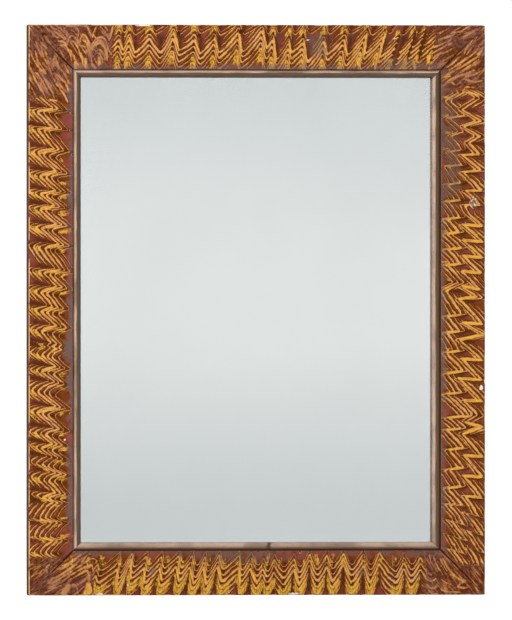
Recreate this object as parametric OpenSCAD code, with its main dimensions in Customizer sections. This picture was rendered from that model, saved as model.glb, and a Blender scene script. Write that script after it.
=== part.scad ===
// Wall looking glass: four mitred flat boards, four applied quirked beads, a silvered plate,
// three feathered backboards, cut nails, and two strap hangers with swinging D-rings.
// The front faces -Y, +X is the viewer's right, and the origin is the middle of the bottom edge.

/* [Looking glass] */
// Width of the silvered plate
plate_w = 472; // [300:1:900]
// Height of the silvered plate
plate_h = 610; // [480:1:1000]
// Thickness of the plate
glass_t = 3; // [2:0.5:6]
// Thickness of the silvering on its back
silver_t = 0.15; // [0.05:0.05:0.3]
// Play of the plate in its pocket, both sides together
plate_play = 3; // [1:0.5:6]

/* [Frame boards] */
// Width of each flat board, from the outer edge to the bead
rail_w = 56.5; // [40:0.5:110]
// Width of a mitre's crack at the inner corner, where the boards have shrunk
mitre_gap = 0.9; // [0.2:0.1:2]
// Radius of the worn long edges
arris_r = 1.2; // [0.4:0.1:3]
// Radius of the worn outer corners
corner_r = 2.5; // [1.5:0.5:8]

/* [Bead] */
// Width of each bead strip, with its quirk
bead_w = 10.9; // [8:0.1:16]
// Depth of each bead strip, from the face to the glass
bead_d = 12; // [10.5:0.5:18]
// Width of the quirk, the groove between board and bead
quirk_w = 1.3; // [0.6:0.1:2.5]
// Depth of the quirk
quirk_d = 2.8; // [1:0.1:4]
// Width of the crack between two bead strips at a corner
bead_gap = 0.3; // [0.1:0.1:1]

/* [Backboards] */
// Height of the upper board
upper_h = 186; // [120:1:300]
// Height of the middle board
middle_h = 232; // [120:1:340]
// Thickness of the boards
board_t = 5.6; // [4.6:0.1:10]
// Thickness of their feathered margins
margin_t = 3.8; // [2.5:0.1:4.3]
// Width of the flat part of a margin
margin_w = 10; // [6:1:20]
// Width of the slope from a margin up to the field
feather_w = 18; // [5:1:35]
// Play of the boards in the pocket, both sides together
board_play = 1.6; // [0.4:0.2:1.8]
// Crack between two boards
board_gap = 0.6; // [0.1:0.1:0.9]
// Clearance between the silvering and the boards
board_clear = 0.4; // [0.2:0.1:0.9]
// How far the boards lie below the frame's back
board_inset = 0.85; // [0.2:0.05:4]

/* [Nails] */
// Clearance of a nail in its hole, all round
nail_fit = 0.02; // [0.01:0.01:0.1]
// Length of the corner nails
corner_nail_l = 44; // [34:1:52]
// Width of a corner nail below its head
corner_nail_w = 3.4; // [2:0.2:5]
// Thickness of a corner nail
corner_nail_t = 2.4; // [1.6:0.2:4]
// Distance of the first corner nail from the frame's side
corner_nail_x = 13; // [9:0.5:16]
// Spacing of the two nails at a corner
corner_nail_step = 12; // [8:0.5:14]
// Height of a corner nail's square head
nail_head_h = 1.6; // [1:0.1:3]
// Width of a head, in widths of its nail
nail_head_ratio = 1.5; // [1.2:0.1:2]
// Width of a nail's tip, in widths of the nail
nail_tip_ratio = 0.4; // [0.2:0.05:0.8]
// How far the heads are punched below the wood
nail_set = 0.5; // [0.2:0.1:1.5]
// Length of the backboard brads
board_brad_l = 19; // [14:0.5:26]
// Side of the square backboard brads
board_brad_w = 1.4; // [1:0.1:1.8]
// How far they stand out over the boards
board_brad_out = 7; // [4:0.5:9]
// Distance of the end brads from the boards' long edges
board_brad_x = 34; // [20:1:50]
// Length of the bead brads
bead_brad_l = 18; // [14:0.5:20]
// Radius of the bead brads
bead_brad_r = 0.65; // [0.4:0.05:0.9]
// Slant of the bead brads, from straight back towards the board
bead_brad_slant = 52; // [45:1:58]
// Longest stretch of bead between two brads
bead_brad_step = 170; // [80:5:400]

/* [Hangers] */
// Distance from the top edge down to the ring's bar
hanger_drop = 190; // [60:1:400]
// Width of the brass strap
strap_w = 13; // [10:0.5:14]
// Thickness of the brass strap
strap_t = 1; // [0.8:0.1:1.6]
// Length of the strap below the ring's bar
strap_l = 45; // [42:1:70]
// Distance from the bar down to the first screw
screw_drop = 24.5; // [24:0.5:27]
// Spacing of the two screws
screw_step = 13; // [9:0.5:14]
// Radius of the ring's wire
ring_wire_r = 1.25; // [1:0.05:1.6]
// Width of the ring, between the middles of its arms
ring_w = 22; // [21:0.5:26]
// Radius of the bend between the bar and an arm
ring_bend = 3; // [2:0.5:3.5]
// Straight length of each arm
ring_arm = 3; // [0.5:0.5:4]
// Running clearance of the bar in the rolled eye, all round
eye_fit = 0.06; // [0.02:0.01:0.1]
// Lift of the rolled eye off the wood
eye_lift = 0.45; // [0.3:0.05:1]
// Radius of the screws' shanks
screw_r = 1.7; // [1.2:0.1:2.2]
// Length of the screws' shanks
screw_l = 14; // [10:0.5:17]
// Radius of the screws' round heads
screw_head_r = 3.2; // [2.6:0.1:4]
// Height of the screws' round heads
screw_head_h = 1.9; // [1.4:0.1:2.4]
// Clearance of a shank in the strap, all round
screw_play = 0.2; // [0.1:0.1:0.4]
// Radius of the screws' blunt tips
screw_tip_r = 0.2; // [0.1:0.05:0.6]
// Width of the slots in the heads
slot_w = 0.9; // [0.6:0.1:1.4]
// Depth of the slots below the crowns
slot_d = 1; // [0.5:0.1:1.3]

/* [Hidden] */
$fn = 48;
// How far a cut runs past what it cuts
over = 1;

// The pocket behind the beads, and the frame round it
pocket_w = plate_w + plate_play;
pocket_h = plate_h + plate_play;
frame_w = pocket_w + 2 * rail_w;
frame_h = pocket_h + 2 * rail_w;
glass_v = bead_d;
silver_v = glass_v + glass_t;
board_v = silver_v + silver_t + board_clear;
stock_t = board_v + board_t + board_inset;
front_y = -stock_t / 2;
back_y = stock_t / 2;
diagonal_w = rail_w * sqrt(2);
mitre_open = atan(mitre_gap / 2 / diagonal_w);
far = frame_w + frame_h;

// The bead's round, whose crown is level with the face
round_r = (bead_w - quirk_w) / 2;
round_u = rail_w + quirk_w + round_r;

// The four sides: the turn from the bottom one, and the length of its outer edge
BOTTOM = [0, frame_w];
LEFT = [90, frame_h];
TOP = [180, frame_w];
RIGHT = [-90, frame_h];

// The backboards, from the bottom of the pocket up
boards_w = pocket_w - board_play;
boards_z = rail_w + board_play / 2;
boards_h = pocket_h - board_play;
lower_h = boards_h - upper_h - middle_h - 2 * board_gap;
middle_z = boards_z + lower_h + board_gap;
upper_z = middle_z + middle_h + board_gap;
brad_v = board_v + margin_t + nail_fit + board_brad_w / 2;

// The hangers, on the middle lines of the stiles' backs
hanger_x = frame_w / 2 - rail_w / 2;
hanger_z = frame_h - hanger_drop;
eye_r = ring_wire_r + eye_fit;
eye_out_r = eye_r + strap_t;
eye_y = eye_out_r + eye_lift;
eye_ramp = 2 * eye_out_r;
screw_drops = [screw_drop, screw_drop + screw_step];

// Puts what is drawn for the bottom side on another side
module on_side(side) {
    quarter = abs(side[0]) == 90;
    reach_x = quarter ? -frame_w / 2 * sign(side[0]) : 0;
    reach_z = quarter ? frame_h / 2 : side[0] == 180 ? frame_h : 0;
    translate([reach_x, 0, reach_z])
        rotate([0, side[0], 0])
            children();
}

// A section drawn as depth by distance inwards, run along the bottom side
module run_section(length) {
    rotate([90, 0, 90])
        translate([front_y, 0, -length / 2])
            linear_extrude(height = length)
                children();
}

// What a mitre saw takes off both ends of a side
module mitre_waste(length, open_angle, back_off) {
    for (end = [0, 1])
        mirror([end, 0, 0])
            translate([length / 2, 0, 0])
                rotate([0, -45 - open_angle, 0])
                    translate([-back_off, -stock_t, -stock_t])
                        cube([far, 2 * stock_t, far]);
}

// The frame's whole outline with its worn corners, as a block
module worn_outline() {
    translate([-frame_w / 2, -stock_t, corner_r])
        cube([frame_w, 2 * stock_t, frame_h - 2 * corner_r]);
    translate([-frame_w / 2 + corner_r, -stock_t, 0])
        cube([frame_w - 2 * corner_r, 2 * stock_t, frame_h]);
    for (side = [-1, 1], z = [corner_r, frame_h - corner_r])
        translate([side * (frame_w / 2 - corner_r), stock_t, z])
            rotate([90, 0, 0])
                cylinder(r = corner_r, h = 2 * stock_t);
}

// A board's section: square, with its two outer edges worn round
module board_section() {
    translate([arris_r, 0])
        square([stock_t - 2 * arris_r, rail_w]);
    translate([0, arris_r])
        square([stock_t, rail_w - arris_r]);
    for (v = [arris_r, stock_t - arris_r])
        translate([v, arris_r])
            circle(r = arris_r);
}

// A bead's section: a half-round crown beside its quirk, on a square back
module bead_section() {
    translate([quirk_d, rail_w])
        square([bead_d - quirk_d, quirk_w + round_r]);
    translate([round_r, round_u])
        circle(r = round_r);
    translate([round_r, round_u])
        square([bead_d - round_r, round_r]);
}

// Cut nail: a flat tapered blade with a square head, pointing along -Z from its head at the origin
module cut_nail(length, width, thick, fit = 0) {
    head_w = width * nail_head_ratio;
    head_t = thick * nail_head_ratio;
    tip_w = width * nail_tip_ratio;
    translate([-head_w / 2 - fit, -head_t / 2 - fit, -nail_head_h - fit])
        cube([head_w + 2 * fit, head_t + 2 * fit, nail_head_h + 2 * fit]);
    translate([0, thick / 2 + fit, 0])
        rotate([90, 0, 0])
            linear_extrude(height = thick + 2 * fit)
                polygon([
                    [-width / 2 - fit, -nail_head_h / 2],
                    [-tip_w / 2 - fit, -length - fit],
                    [tip_w / 2 + fit, -length - fit],
                    [width / 2 + fit, -nail_head_h / 2]
                ]);
}

// The two nails at each corner, driven from the top and bottom edges into the stiles
module corner_nail_set(fit = 0) {
    for (side = [-1, 1], n = [0, 1]) {
        x = side * (frame_w / 2 - corner_nail_x - n * corner_nail_step);
        translate([x, 0, frame_h - nail_set])
            cut_nail(corner_nail_l, corner_nail_w, corner_nail_t, fit);
        translate([x, 0, nail_set])
            rotate([180, 0, 0])
                cut_nail(corner_nail_l, corner_nail_w, corner_nail_t, fit);
    }
}

// Wells above the punched nail heads, open to the frame's edges
module corner_nail_wells() {
    head_w = corner_nail_w * nail_head_ratio + 2 * nail_fit;
    head_t = corner_nail_t * nail_head_ratio + 2 * nail_fit;
    for (side = [-1, 1], n = [0, 1], z = [0, frame_h])
        translate([side * (frame_w / 2 - corner_nail_x - n * corner_nail_step), 0, z])
            cube([head_w, head_t, 2 * nail_set], center = true);
}

// Where the brads go along a bead whose clear length is given
function brad_places(length) =
    let (count = max(2, ceil(length / bead_brad_step)))
    [for (n = [0 : count - 1]) (n + 0.5) * length / count - length / 2];

// Brads of one side, slanting from the bead's round into the board's edge
module bead_brad_row(length, fit = 0) {
    clear_l = length - 2 * (rail_w + bead_w);
    for (x = brad_places(clear_l))
        translate([x, front_y + round_r, round_u])
            rotate([90 - bead_brad_slant, 0, 0])
                translate([0, 0, round_r - bead_brad_l - fit])
                    cylinder(r = bead_brad_r + fit, h = bead_brad_l + 2 * fit);
}

// Square brads along one side of the pocket, lying on the boards' margins
module board_brad_row(places, fit = 0) {
    side_w = board_brad_w + 2 * fit;
    for (x = places)
        translate([x - side_w / 2, front_y + brad_v - side_w / 2, rail_w + board_brad_out - board_brad_l - fit])
            cube([side_w, side_w, board_brad_l + 2 * fit]);
}

// Heights of the brads at the boards' ends, counted from the frame's middle
end_brad_places = [
    for (edge = [[boards_z, lower_h], [middle_z, middle_h], [upper_z, upper_h]], near = [0, 1])
        edge[0] + (near == 0 ? board_brad_x : edge[1] - board_brad_x) - frame_h / 2
];
edge_brad_places = [for (n = [-1, 0, 1]) n * boards_w / 3];

module backboard_brad_set(fit = 0) {
    for (side = [BOTTOM, TOP])
        on_side(side)
            board_brad_row(edge_brad_places, fit);
    for (side = [LEFT, RIGHT])
        on_side(side)
            board_brad_row([for (z = end_brad_places) z * -sign(side[0])], fit);
}

module bead_brad_set(fit = 0) {
    for (side = [BOTTOM, LEFT, TOP, RIGHT])
        on_side(side)
            bead_brad_row(side[1], fit);
}

// A mitred board of the frame, with the holes that its nails and screws fill
module frame_board(side) {
    difference() {
        intersection() {
            on_side(side)
                difference() {
                    run_section(side[1])
                        board_section();
                    mitre_waste(side[1], mitre_open, 0);
                }
            worn_outline();
        }
        corner_nail_set(nail_fit);
        corner_nail_wells();
        on_side(side)
            bead_brad_row(side[1], nail_fit);
        backboard_brad_set(nail_fit);
        screw_set(-1, nail_fit);
        screw_set(1, nail_fit);
    }
}

// An applied bead strip
module bead_strip(side) {
    on_side(side)
        difference() {
            run_section(side[1])
                bead_section();
            mitre_waste(side[1], 0, bead_gap / 2 * sqrt(2));
            bead_brad_row(side[1], nail_fit);
        }
}

// A backboard with feathered ends, and feathered long edges where it meets the frame
module backboard(z, height, feather_low, feather_high) {
    slope = board_t - margin_t;
    translate([0, front_y + board_v, z])
        difference() {
            translate([-boards_w / 2, 0, 0])
                cube([boards_w, board_t, height]);
            for (end = [0, 1])
                mirror([end, 0, 0])
                    translate([boards_w / 2, 0, -over])
                        linear_extrude(height = height + 2 * over)
                            feather_cut(slope);
            if (feather_low)
                translate([-boards_w, 0, 0])
                    rotate([0, 90, 0])
                        linear_extrude(height = 2 * boards_w)
                            feather_cut(slope);
            if (feather_high)
                translate([boards_w, 0, height])
                    rotate([0, -90, 0])
                        linear_extrude(height = 2 * boards_w)
                            feather_cut(slope);
        }
}

// What the plane takes off a board's edge, as a section with the edge at the origin
module feather_cut(slope) {
    polygon([
        [over, margin_t],
        [-margin_w, margin_t],
        [-margin_w - feather_w, margin_t + slope],
        [-margin_w - feather_w, board_t + over],
        [over, board_t + over]
    ]);
}

// The rolled brass strap: a flat tail with two screw holes, ramped up to the eye round the bar
module strap(side) {
    translate([side * hanger_x, back_y, hanger_z])
        difference() {
            union() {
                translate([-strap_w / 2, 0, -strap_l + strap_w / 2])
                    cube([strap_w, strap_t, strap_l - strap_w / 2 - eye_ramp]);
                translate([0, strap_t, -strap_l + strap_w / 2])
                    rotate([90, 0, 0])
                        cylinder(r = strap_w / 2, h = strap_t);
                translate([-strap_w / 2, 0, 0])
                    rotate([90, 0, 90])
                        linear_extrude(height = strap_w)
                            polygon([
                                [0, -eye_ramp],
                                [eye_lift, 0],
                                [eye_lift + strap_t, 0],
                                [strap_t, -eye_ramp]
                            ]);
                translate([-strap_w / 2, eye_y, 0])
                    rotate([0, 90, 0])
                        cylinder(r = eye_out_r, h = strap_w);
            }
            translate([-strap_w, eye_y, 0])
                rotate([0, 90, 0])
                    cylinder(r = eye_r, h = 2 * strap_w);
            for (drop = screw_drops)
                translate([0, strap_t + over, -drop])
                    rotate([90, 0, 0])
                        cylinder(r = screw_r + screw_play, h = strap_t + 2 * over);
        }
}

// D-shaped wire ring, hanging down from its bar in the rolled eye
module ring(side) {
    bar_l = ring_w - 2 * ring_bend;
    translate([side * hanger_x, back_y + eye_y, hanger_z]) {
        translate([-bar_l / 2, 0, 0])
            rotate([0, 90, 0])
                cylinder(r = ring_wire_r, h = bar_l);
        for (end = [0, 1])
            mirror([end, 0, 0]) {
                translate([bar_l / 2, 0, -ring_bend])
                    rotate([90, 0, 0])
                        rotate_extrude(angle = 90)
                            translate([ring_bend, 0])
                                circle(r = ring_wire_r);
                translate([ring_w / 2, 0, -ring_bend - ring_arm])
                    cylinder(r = ring_wire_r, h = ring_arm);
            }
        translate([0, 0, -ring_bend - ring_arm])
            rotate([90, 180, 0])
                rotate_extrude(angle = 180)
                    translate([ring_w / 2, 0])
                        circle(r = ring_wire_r);
    }
}

// The two screws of a strap: round slotted heads, smooth shanks with pointed ends
module screw_set(side, fit = 0) {
    for (drop = screw_drops)
        translate([side * hanger_x, back_y + strap_t, hanger_z - drop])
            rotate([90, 0, 0])
                round_head_screw(fit);
}

module round_head_screw(fit = 0) {
    dome_r = (screw_head_r * screw_head_r + screw_head_h * screw_head_h) / 2 / screw_head_h;
    point_l = 2 * screw_r;
    cylinder(r = screw_r + fit, h = screw_l - point_l);
    translate([0, 0, screw_l - point_l])
        cylinder(r1 = screw_r + fit, r2 = screw_tip_r + fit, h = point_l + fit);
    if (fit == 0)
        difference() {
            intersection() {
                translate([0, 0, dome_r - screw_head_h])
                    sphere(r = dome_r);
                translate([0, 0, -screw_head_h])
                    cylinder(r = screw_head_r + over, h = screw_head_h);
            }
            translate([-screw_head_r, -slot_w / 2, -screw_head_h - over])
                cube([2 * screw_head_r, slot_w, over + slot_d]);
        }
}

module top_rail() {
    color("peru") frame_board(TOP);
}

module bottom_rail() {
    color("peru") frame_board(BOTTOM);
}

module left_stile() {
    color("sienna") frame_board(LEFT);
}

module right_stile() {
    color("sienna") frame_board(RIGHT);
}

module top_bead() {
    color("darkgoldenrod") bead_strip(TOP);
}

module bottom_bead() {
    color("darkgoldenrod") bead_strip(BOTTOM);
}

module left_bead() {
    color("goldenrod") bead_strip(LEFT);
}

module right_bead() {
    color("goldenrod") bead_strip(RIGHT);
}

module mirror_glass() {
    color("lightcyan")
        translate([-plate_w / 2, front_y + glass_v, rail_w])
            cube([plate_w, glass_t, plate_h]);
}

module silvering() {
    color("silver")
        translate([-plate_w / 2, front_y + silver_v, rail_w])
            cube([plate_w, silver_t, plate_h]);
}

module backboard_upper() {
    color("burlywood") backboard(upper_z, upper_h, false, true);
}

module backboard_middle() {
    color("tan") backboard(middle_z, middle_h, false, false);
}

module backboard_lower() {
    color("burlywood") backboard(boards_z, lower_h, true, false);
}

module corner_nails() {
    color("dimgray") corner_nail_set();
}

module backboard_nails() {
    color("dimgray") backboard_brad_set();
}

module bead_brads() {
    color("dimgray") bead_brad_set();
}

module left_strap() {
    color("khaki") strap(-1);
}

module right_strap() {
    color("khaki") strap(1);
}

module left_ring() {
    color("gold") ring(-1);
}

module right_ring() {
    color("gold") ring(1);
}

module left_screws() {
    color("darkkhaki") screw_set(-1);
}

module right_screws() {
    color("darkkhaki") screw_set(1);
}

top_rail();
bottom_rail();
left_stile();
right_stile();
top_bead();
bottom_bead();
left_bead();
right_bead();
mirror_glass();
silvering();
backboard_upper();
backboard_middle();
backboard_lower();
corner_nails();
backboard_nails();
bead_brads();
left_strap();
right_strap();
left_ring();
right_ring();
left_screws();
right_screws();
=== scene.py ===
import math

import bpy
import numpy as np
from bpy.props import FloatProperty, FloatVectorProperty, PointerProperty
from bpy.types import Operator, Panel, PropertyGroup
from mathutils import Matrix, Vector


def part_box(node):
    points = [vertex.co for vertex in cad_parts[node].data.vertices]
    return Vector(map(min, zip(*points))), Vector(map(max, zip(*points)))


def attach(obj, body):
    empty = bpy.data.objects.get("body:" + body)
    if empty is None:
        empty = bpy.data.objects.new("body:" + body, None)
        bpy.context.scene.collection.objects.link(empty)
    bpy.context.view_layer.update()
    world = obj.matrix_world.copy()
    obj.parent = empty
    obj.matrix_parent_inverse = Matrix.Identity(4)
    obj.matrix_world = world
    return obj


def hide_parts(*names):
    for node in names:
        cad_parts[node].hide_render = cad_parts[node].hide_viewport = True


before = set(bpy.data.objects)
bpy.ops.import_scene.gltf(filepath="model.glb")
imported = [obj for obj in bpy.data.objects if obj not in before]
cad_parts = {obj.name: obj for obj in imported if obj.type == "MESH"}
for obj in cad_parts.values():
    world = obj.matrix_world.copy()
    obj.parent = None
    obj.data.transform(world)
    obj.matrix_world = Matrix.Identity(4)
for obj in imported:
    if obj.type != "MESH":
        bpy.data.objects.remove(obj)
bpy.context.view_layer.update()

bl_info = {
    "name": "Grain-painted looking glass",
    "version": (1, 0, 0),
    "blender": (4, 5, 0),
    "location": "View3D > Sidebar > Looking Glass",
    "description": "Combed ochre graining, worn gilt beads, old glass, pine backs and brass hangers",
    "category": "Object",
}

MM = 0.001

# The frame's own sizes, read from the construction, in millimetres
BOARD_LOW, BOARD_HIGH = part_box("left_stile")
BEAD_LOW, BEAD_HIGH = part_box("left_bead")
FRAME_W = (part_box("right_stile")[1].x - BOARD_LOW.x) / MM
FRAME_H = (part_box("top_rail")[1].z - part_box("bottom_rail")[0].z) / MM
STOCK_T = (BOARD_HIGH.y - BOARD_LOW.y) / MM
FRONT_Y = BOARD_LOW.y / MM
RAIL_W = (BOARD_HIGH.x - BOARD_LOW.x) / MM
BEAD_W = (BEAD_HIGH.x - BEAD_LOW.x) / MM
BEAD_D = (BEAD_HIGH.y - BEAD_LOW.y) / MM

# The comb's path on each board, as corners: millimetres along it, millimetres in from the outer edge.
# Rails run from the left, stiles from the top, and a comb stroke turns at each corner.
TOP_STROKE = [
    (30, 34), (54, 15), (66, 31), (71, 12), (81, 33), (93, 18), (103, 33), (116, 18), (121, 33),
    (129, 16), (136, 36), (155, 17), (169, 36), (186, 9), (193, 33), (213, 18), (220, 37), (239, 16),
    (244, 36), (270, 9), (274, 35), (301, 7), (306, 30), (315, 16), (318, 46), (335, 20), (337, 36),
    (354, 20), (358, 48), (380, 20), (384, 38), (406, 18), (410, 40), (435, 11), (432, 38), (459, 10),
    (451, 42), (475, 20), (477, 36), (496, 15), (493, 28), (509, 15), (507, 27), (529, 10), (524, 29),
    (551, 7), (556, 20),
]
BOTTOM_STROKE = [
    (28, 16), (53, 30), (51, 15), (74, 30), (77, 14), (86, 25), (89, 15), (114, 34), (113, 9),
    (131, 42), (131, 20), (149, 36), (148, 15), (168, 35), (171, 18), (190, 36), (193, 17), (207, 36),
    (212, 14), (225, 36), (228, 13), (243, 37), (248, 17), (270, 36), (272, 14), (285, 34), (294, 14),
    (301, 27), (307, 14), (315, 31), (328, 13), (341, 33), (348, 12), (361, 38), (371, 16), (384, 36),
    (391, 16), (405, 39), (415, 15), (431, 38), (440, 14), (451, 40), (473, 14), (483, 34), (493, 15),
    (504, 33), (519, 17), (527, 26), (545, 15), (562, 16),
]
LEFT_STROKE = [
    (40, 26), (61, 11), (88, 31), (90, 11), (107, 31), (111, 11), (131, 31), (133, 11), (158, 33),
    (165, 12), (187, 36), (193, 14), (211, 34), (216, 14), (231, 33), (236, 14), (254, 36), (260, 16),
    (279, 39), (285, 20), (312, 40), (316, 19), (333, 36), (341, 16), (359, 31), (365, 16), (383, 36),
    (391, 16), (405, 29), (409, 24), (411, 29), (421, 16), (435, 34), (442, 16), (454, 32), (467, 11),
    (486, 34), (494, 11), (513, 33), (521, 16), (533, 31), (539, 16), (550, 31), (561, 16), (570, 35),
    (578, 18), (595, 33), (602, 17), (607, 31), (629, 14), (633, 31), (652, 14), (656, 32), (673, 14),
    (679, 26),
]
RIGHT_STROKE = [
    (40, 30), (66, 44), (86, 27), (96, 46), (115, 26), (118, 46), (136, 28), (141, 45), (159, 31),
    (161, 44), (178, 30), (180, 48), (201, 32), (203, 48), (223, 32), (225, 48), (245, 32), (247, 48),
    (264, 33), (266, 49), (284, 31), (286, 49), (304, 32), (306, 50), (328, 28), (339, 51), (369, 31),
    (371, 49), (390, 33), (392, 49), (415, 33), (417, 50), (441, 28), (444, 50), (468, 31), (470, 50),
    (498, 20), (500, 48), (514, 31), (516, 50), (539, 28), (541, 47), (564, 28), (566, 46), (588, 31),
    (590, 48), (612, 30), (611, 46), (637, 28), (630, 45), (657, 24), (649, 42), (673, 29), (666, 43),
    (692, 24),
]
RIGHT_EDGE_STROKE = [
    (81, 28), (93, 6), (108, 30), (122, 6), (129, 29), (142, 7), (150, 22), (165, 8), (165, 31),
    (185, 6), (187, 29), (211, 5), (211, 25), (229, 7), (229, 26), (241, 21), (256, 4), (254, 29),
    (276, 3), (274, 29), (296, 4), (294, 29), (316, 6), (313, 30), (337, 8), (332, 30), (346, 11),
    (349, 34), (381, 4), (379, 29), (394, 1), (401, 33), (427, 4), (425, 31), (452, 5), (450, 35),
    (479, 4), (478, 28), (497, 10), (506, 26), (512, 3), (521, 29), (550, 4), (548, 28), (576, 4),
    (574, 29), (602, 4), (600, 26), (626, 8), (621, 24), (650, 4), (643, 23), (672, 3), (663, 21),
    (688, 8), (684, 14),
]

# Where the comb was set down on each board and where it was lifted
COMB_REACH = {"top": (104, 526), "bottom": (80, 512), "left": (90, 680), "right": (80, 690)}
# Single strokes at the mitred ends, each as its half width and the points that it passes
LOOSE_STROKES = {
    "top": [
        (0.9, [(28, 3), (38, 8), (45, 15), (50, 23)]), (1.0, [(37, 21), (44, 22), (50, 26)]),
        (0.9, [(38, 27), (45, 26), (49, 29), (53, 37), (55, 47)]), (0.8, [(45, 4), (50, 11)]),
        (1.0, [(50, 23), (52, 17), (56, 14), (60, 17), (63, 24)]),
        (0.9, [(60, 2), (64, 8), (63, 16), (64, 24)]),
        (1.4, [(55, 21), (59, 23), (64, 32), (68, 42), (70, 52)]),
        (1.0, [(53, 32), (58, 40), (61, 50)]),
        (1.1, [(66, 22), (67, 16), (71, 13), (76, 20), (79, 30), (81, 40)]),
        (0.8, [(76, 3), (78, 10), (83, 18)]),
        (1.3, [(70, 20), (74, 23), (77, 32), (80, 43), (81, 51)]),
        (0.9, [(69, 31), (73, 37), (75, 46)]), (0.8, [(40, 4), (46, 10)]),
        (0.8, [(86, 4), (83, 12), (81, 20)]), (2.8, [(73, 44), (73, 54)]), (2.6, [(60, 47), (60, 56)]),
        (1.0, [(81, 33), (82, 25), (86, 19), (92, 16), (97, 18), (100, 24), (102, 31), (106, 38)]),
        (1.5, [(86, 27), (89, 24), (94, 25), (98, 31), (100, 38), (101, 46)]),
        (1.0, [(86, 34), (91, 32), (94, 34), (97, 39), (98, 46)]),
        (0.8, [(86, 37), (90, 36), (94, 43), (95, 49)]), (2.4, [(90, 43), (91, 51)]),
        (0.9, [(82, 33), (84, 27), (87, 22), (91, 20), (96, 23)]),
        (0.9, [(66, 27), (71, 28), (74, 33), (77, 40), (78, 48)]),
        (1.0, [(92, 3), (97, 8), (101, 14), (103, 20)]), (0.9, [(108, 2), (106, 10), (104, 18)]),
        (0.8, [(98, 2), (102, 8)]), (1.0, [(48, 2), (60, 1.5), (74, 2)]),
        (1.3, [(33, 9), (40, 14), (46, 19)]), (0.8, [(57, 8), (61, 13)]), (0.8, [(31, 14), (38, 17)]),
        (1.1, [(522, 28), (533, 24), (544, 18)]), (1.0, [(520, 36), (530, 30), (545, 23)]),
        (0.7, [(520, 41), (531, 35)]), (1.0, [(516, 50), (523, 44), (528, 38)]),
        (0.8, [(528, 19), (546, 10)]), (1.0, [(546, 9), (556, 8), (563, 4), (569, 1)]),
        (0.8, [(528, 11), (541, 4)]), (2.2, [(514, 48), (515, 40)]),
    ],
    "bottom": [
        (1.2, [(29, 22), (28, 16), (33, 17), (44, 24), (55, 31)]),
        (1.0, [(34, 22), (45, 29), (54, 35), (62, 40)]),
        (1.3, [(43, 38), (47, 39), (57, 45), (67, 52)]), (0.8, [(40, 33), (50, 38), (60, 45)]),
        (0.9, [(24, 8), (34, 14), (46, 21)]), (0.8, [(20, 3), (32, 9), (42, 13)]),
        (0.8, [(36, 4), (46, 10)]),
        (1.1, [(50, 19), (60, 24), (70, 30), (75, 31), (77, 25), (78, 17)]),
        (1.1, [(54, 26), (66, 33), (76, 38), (81, 38), (83, 31), (84, 24)]),
        (1.0, [(58, 33), (68, 39), (79, 46), (85, 46), (88, 39), (90, 30)]),
        (1.0, [(67, 41), (72, 48), (79, 54)]), (4.2, [(44, 3), (47, 6), (51, 13)]),
        (1.0, [(52, 11), (58, 14), (62, 9), (63, 3)]), (4.4, [(73, 3), (77, 6), (77, 14)]),
        (1.2, [(508, 27), (512, 21), (518, 17), (524, 20)]), (0.8, [(510, 33), (514, 28), (519, 25)]),
        (1.0, [(521, 50), (525, 39), (534, 25)]), (0.8, [(516, 50), (519, 40), (527, 30)]),
        (1.5, [(534, 46), (541, 33), (549, 24), (557, 19), (563, 18)]),
        (0.7, [(530, 46), (537, 33), (544, 25)]), (1.2, [(531, 20), (537, 16), (546, 12)]),
        (1.2, [(563, 18), (556, 14), (553, 11), (560, 9), (568, 10)]),
        (1.4, [(513, 13), (517, 9), (523, 9), (526, 14)]),
        (1.3, [(527, 12), (533, 6), (542, 4), (556, 3)]), (1.0, [(515, 6), (520, 2), (528, 1)]),
    ],
    "left": [
        (0.8, [(22, 9), (30, 12), (40, 16)]), (1.0, [(26, 15), (38, 18), (50, 23)]),
        (0.9, [(30, 20), (40, 23), (49, 26)]),
        (1.1, [(58, 39), (48, 36), (40, 33), (46, 32), (56, 30)]),
        (1.2, [(38, 3), (48, 8), (57, 15), (63, 22)]), (0.9, [(42, 9), (50, 14), (60, 21)]),
        (1.2, [(55, 2), (68, 7), (80, 14), (90, 20)]), (1.2, [(61, 9), (67, 14), (79, 21), (91, 27)]),
        (1.2, [(64, 17), (72, 22), (84, 29), (94, 33)]), (1.0, [(62, 34), (67, 40), (73, 45)]),
        (1.1, [(75, 35), (82, 40), (90, 46), (99, 50)]), (0.9, [(62, 45), (68, 48), (75, 52)]),
        (1.0, [(72, 46), (79, 49), (86, 52)]), (2.0, [(96, 26), (97, 36)]), (0.8, [(34, 8), (44, 11)]),
        (0.8, [(80, 3), (90, 9)]), (0.8, [(52, 25), (60, 28), (72, 33)]), (0.8, [(50, 46), (62, 51)]),
        (0.9, [(687, 26), (691, 22), (697, 24), (693, 18), (698, 14)]), (0.7, [(684, 8), (688, 14)]),
    ],
    "right": [
        (1.0, [(19, 16), (28, 23), (37, 27)]), (0.8, [(22, 12), (31, 19), (38, 24)]),
        (0.7, [(13, 9), (22, 15)]), (2.6, [(32, 4), (37, 9)]),
        (1.3, [(34, 12), (42, 23), (50, 35), (58, 47)]),
        (1.2, [(39, 9), (48, 22), (56, 36), (60, 47)]), (0.9, [(44, 8), (54, 23), (61, 34)]),
        (1.0, [(44, 36), (50, 44), (55, 51)]), (1.4, [(57, 14), (62, 26), (66, 39), (73, 51)]),
        (1.0, [(58, 3), (63, 15), (66, 26)]), (1.0, [(72, 44), (76, 38), (73, 32)]),
        (0.9, [(71, 4), (72, 14), (69, 26)]), (1.1, [(80, 12), (79, 24), (84, 27), (87, 17), (90, 4)]),
        (0.8, [(82, 4), (81, 13)]), (0.8, [(28, 3), (36, 15), (46, 28)]),
    ],
}
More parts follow.
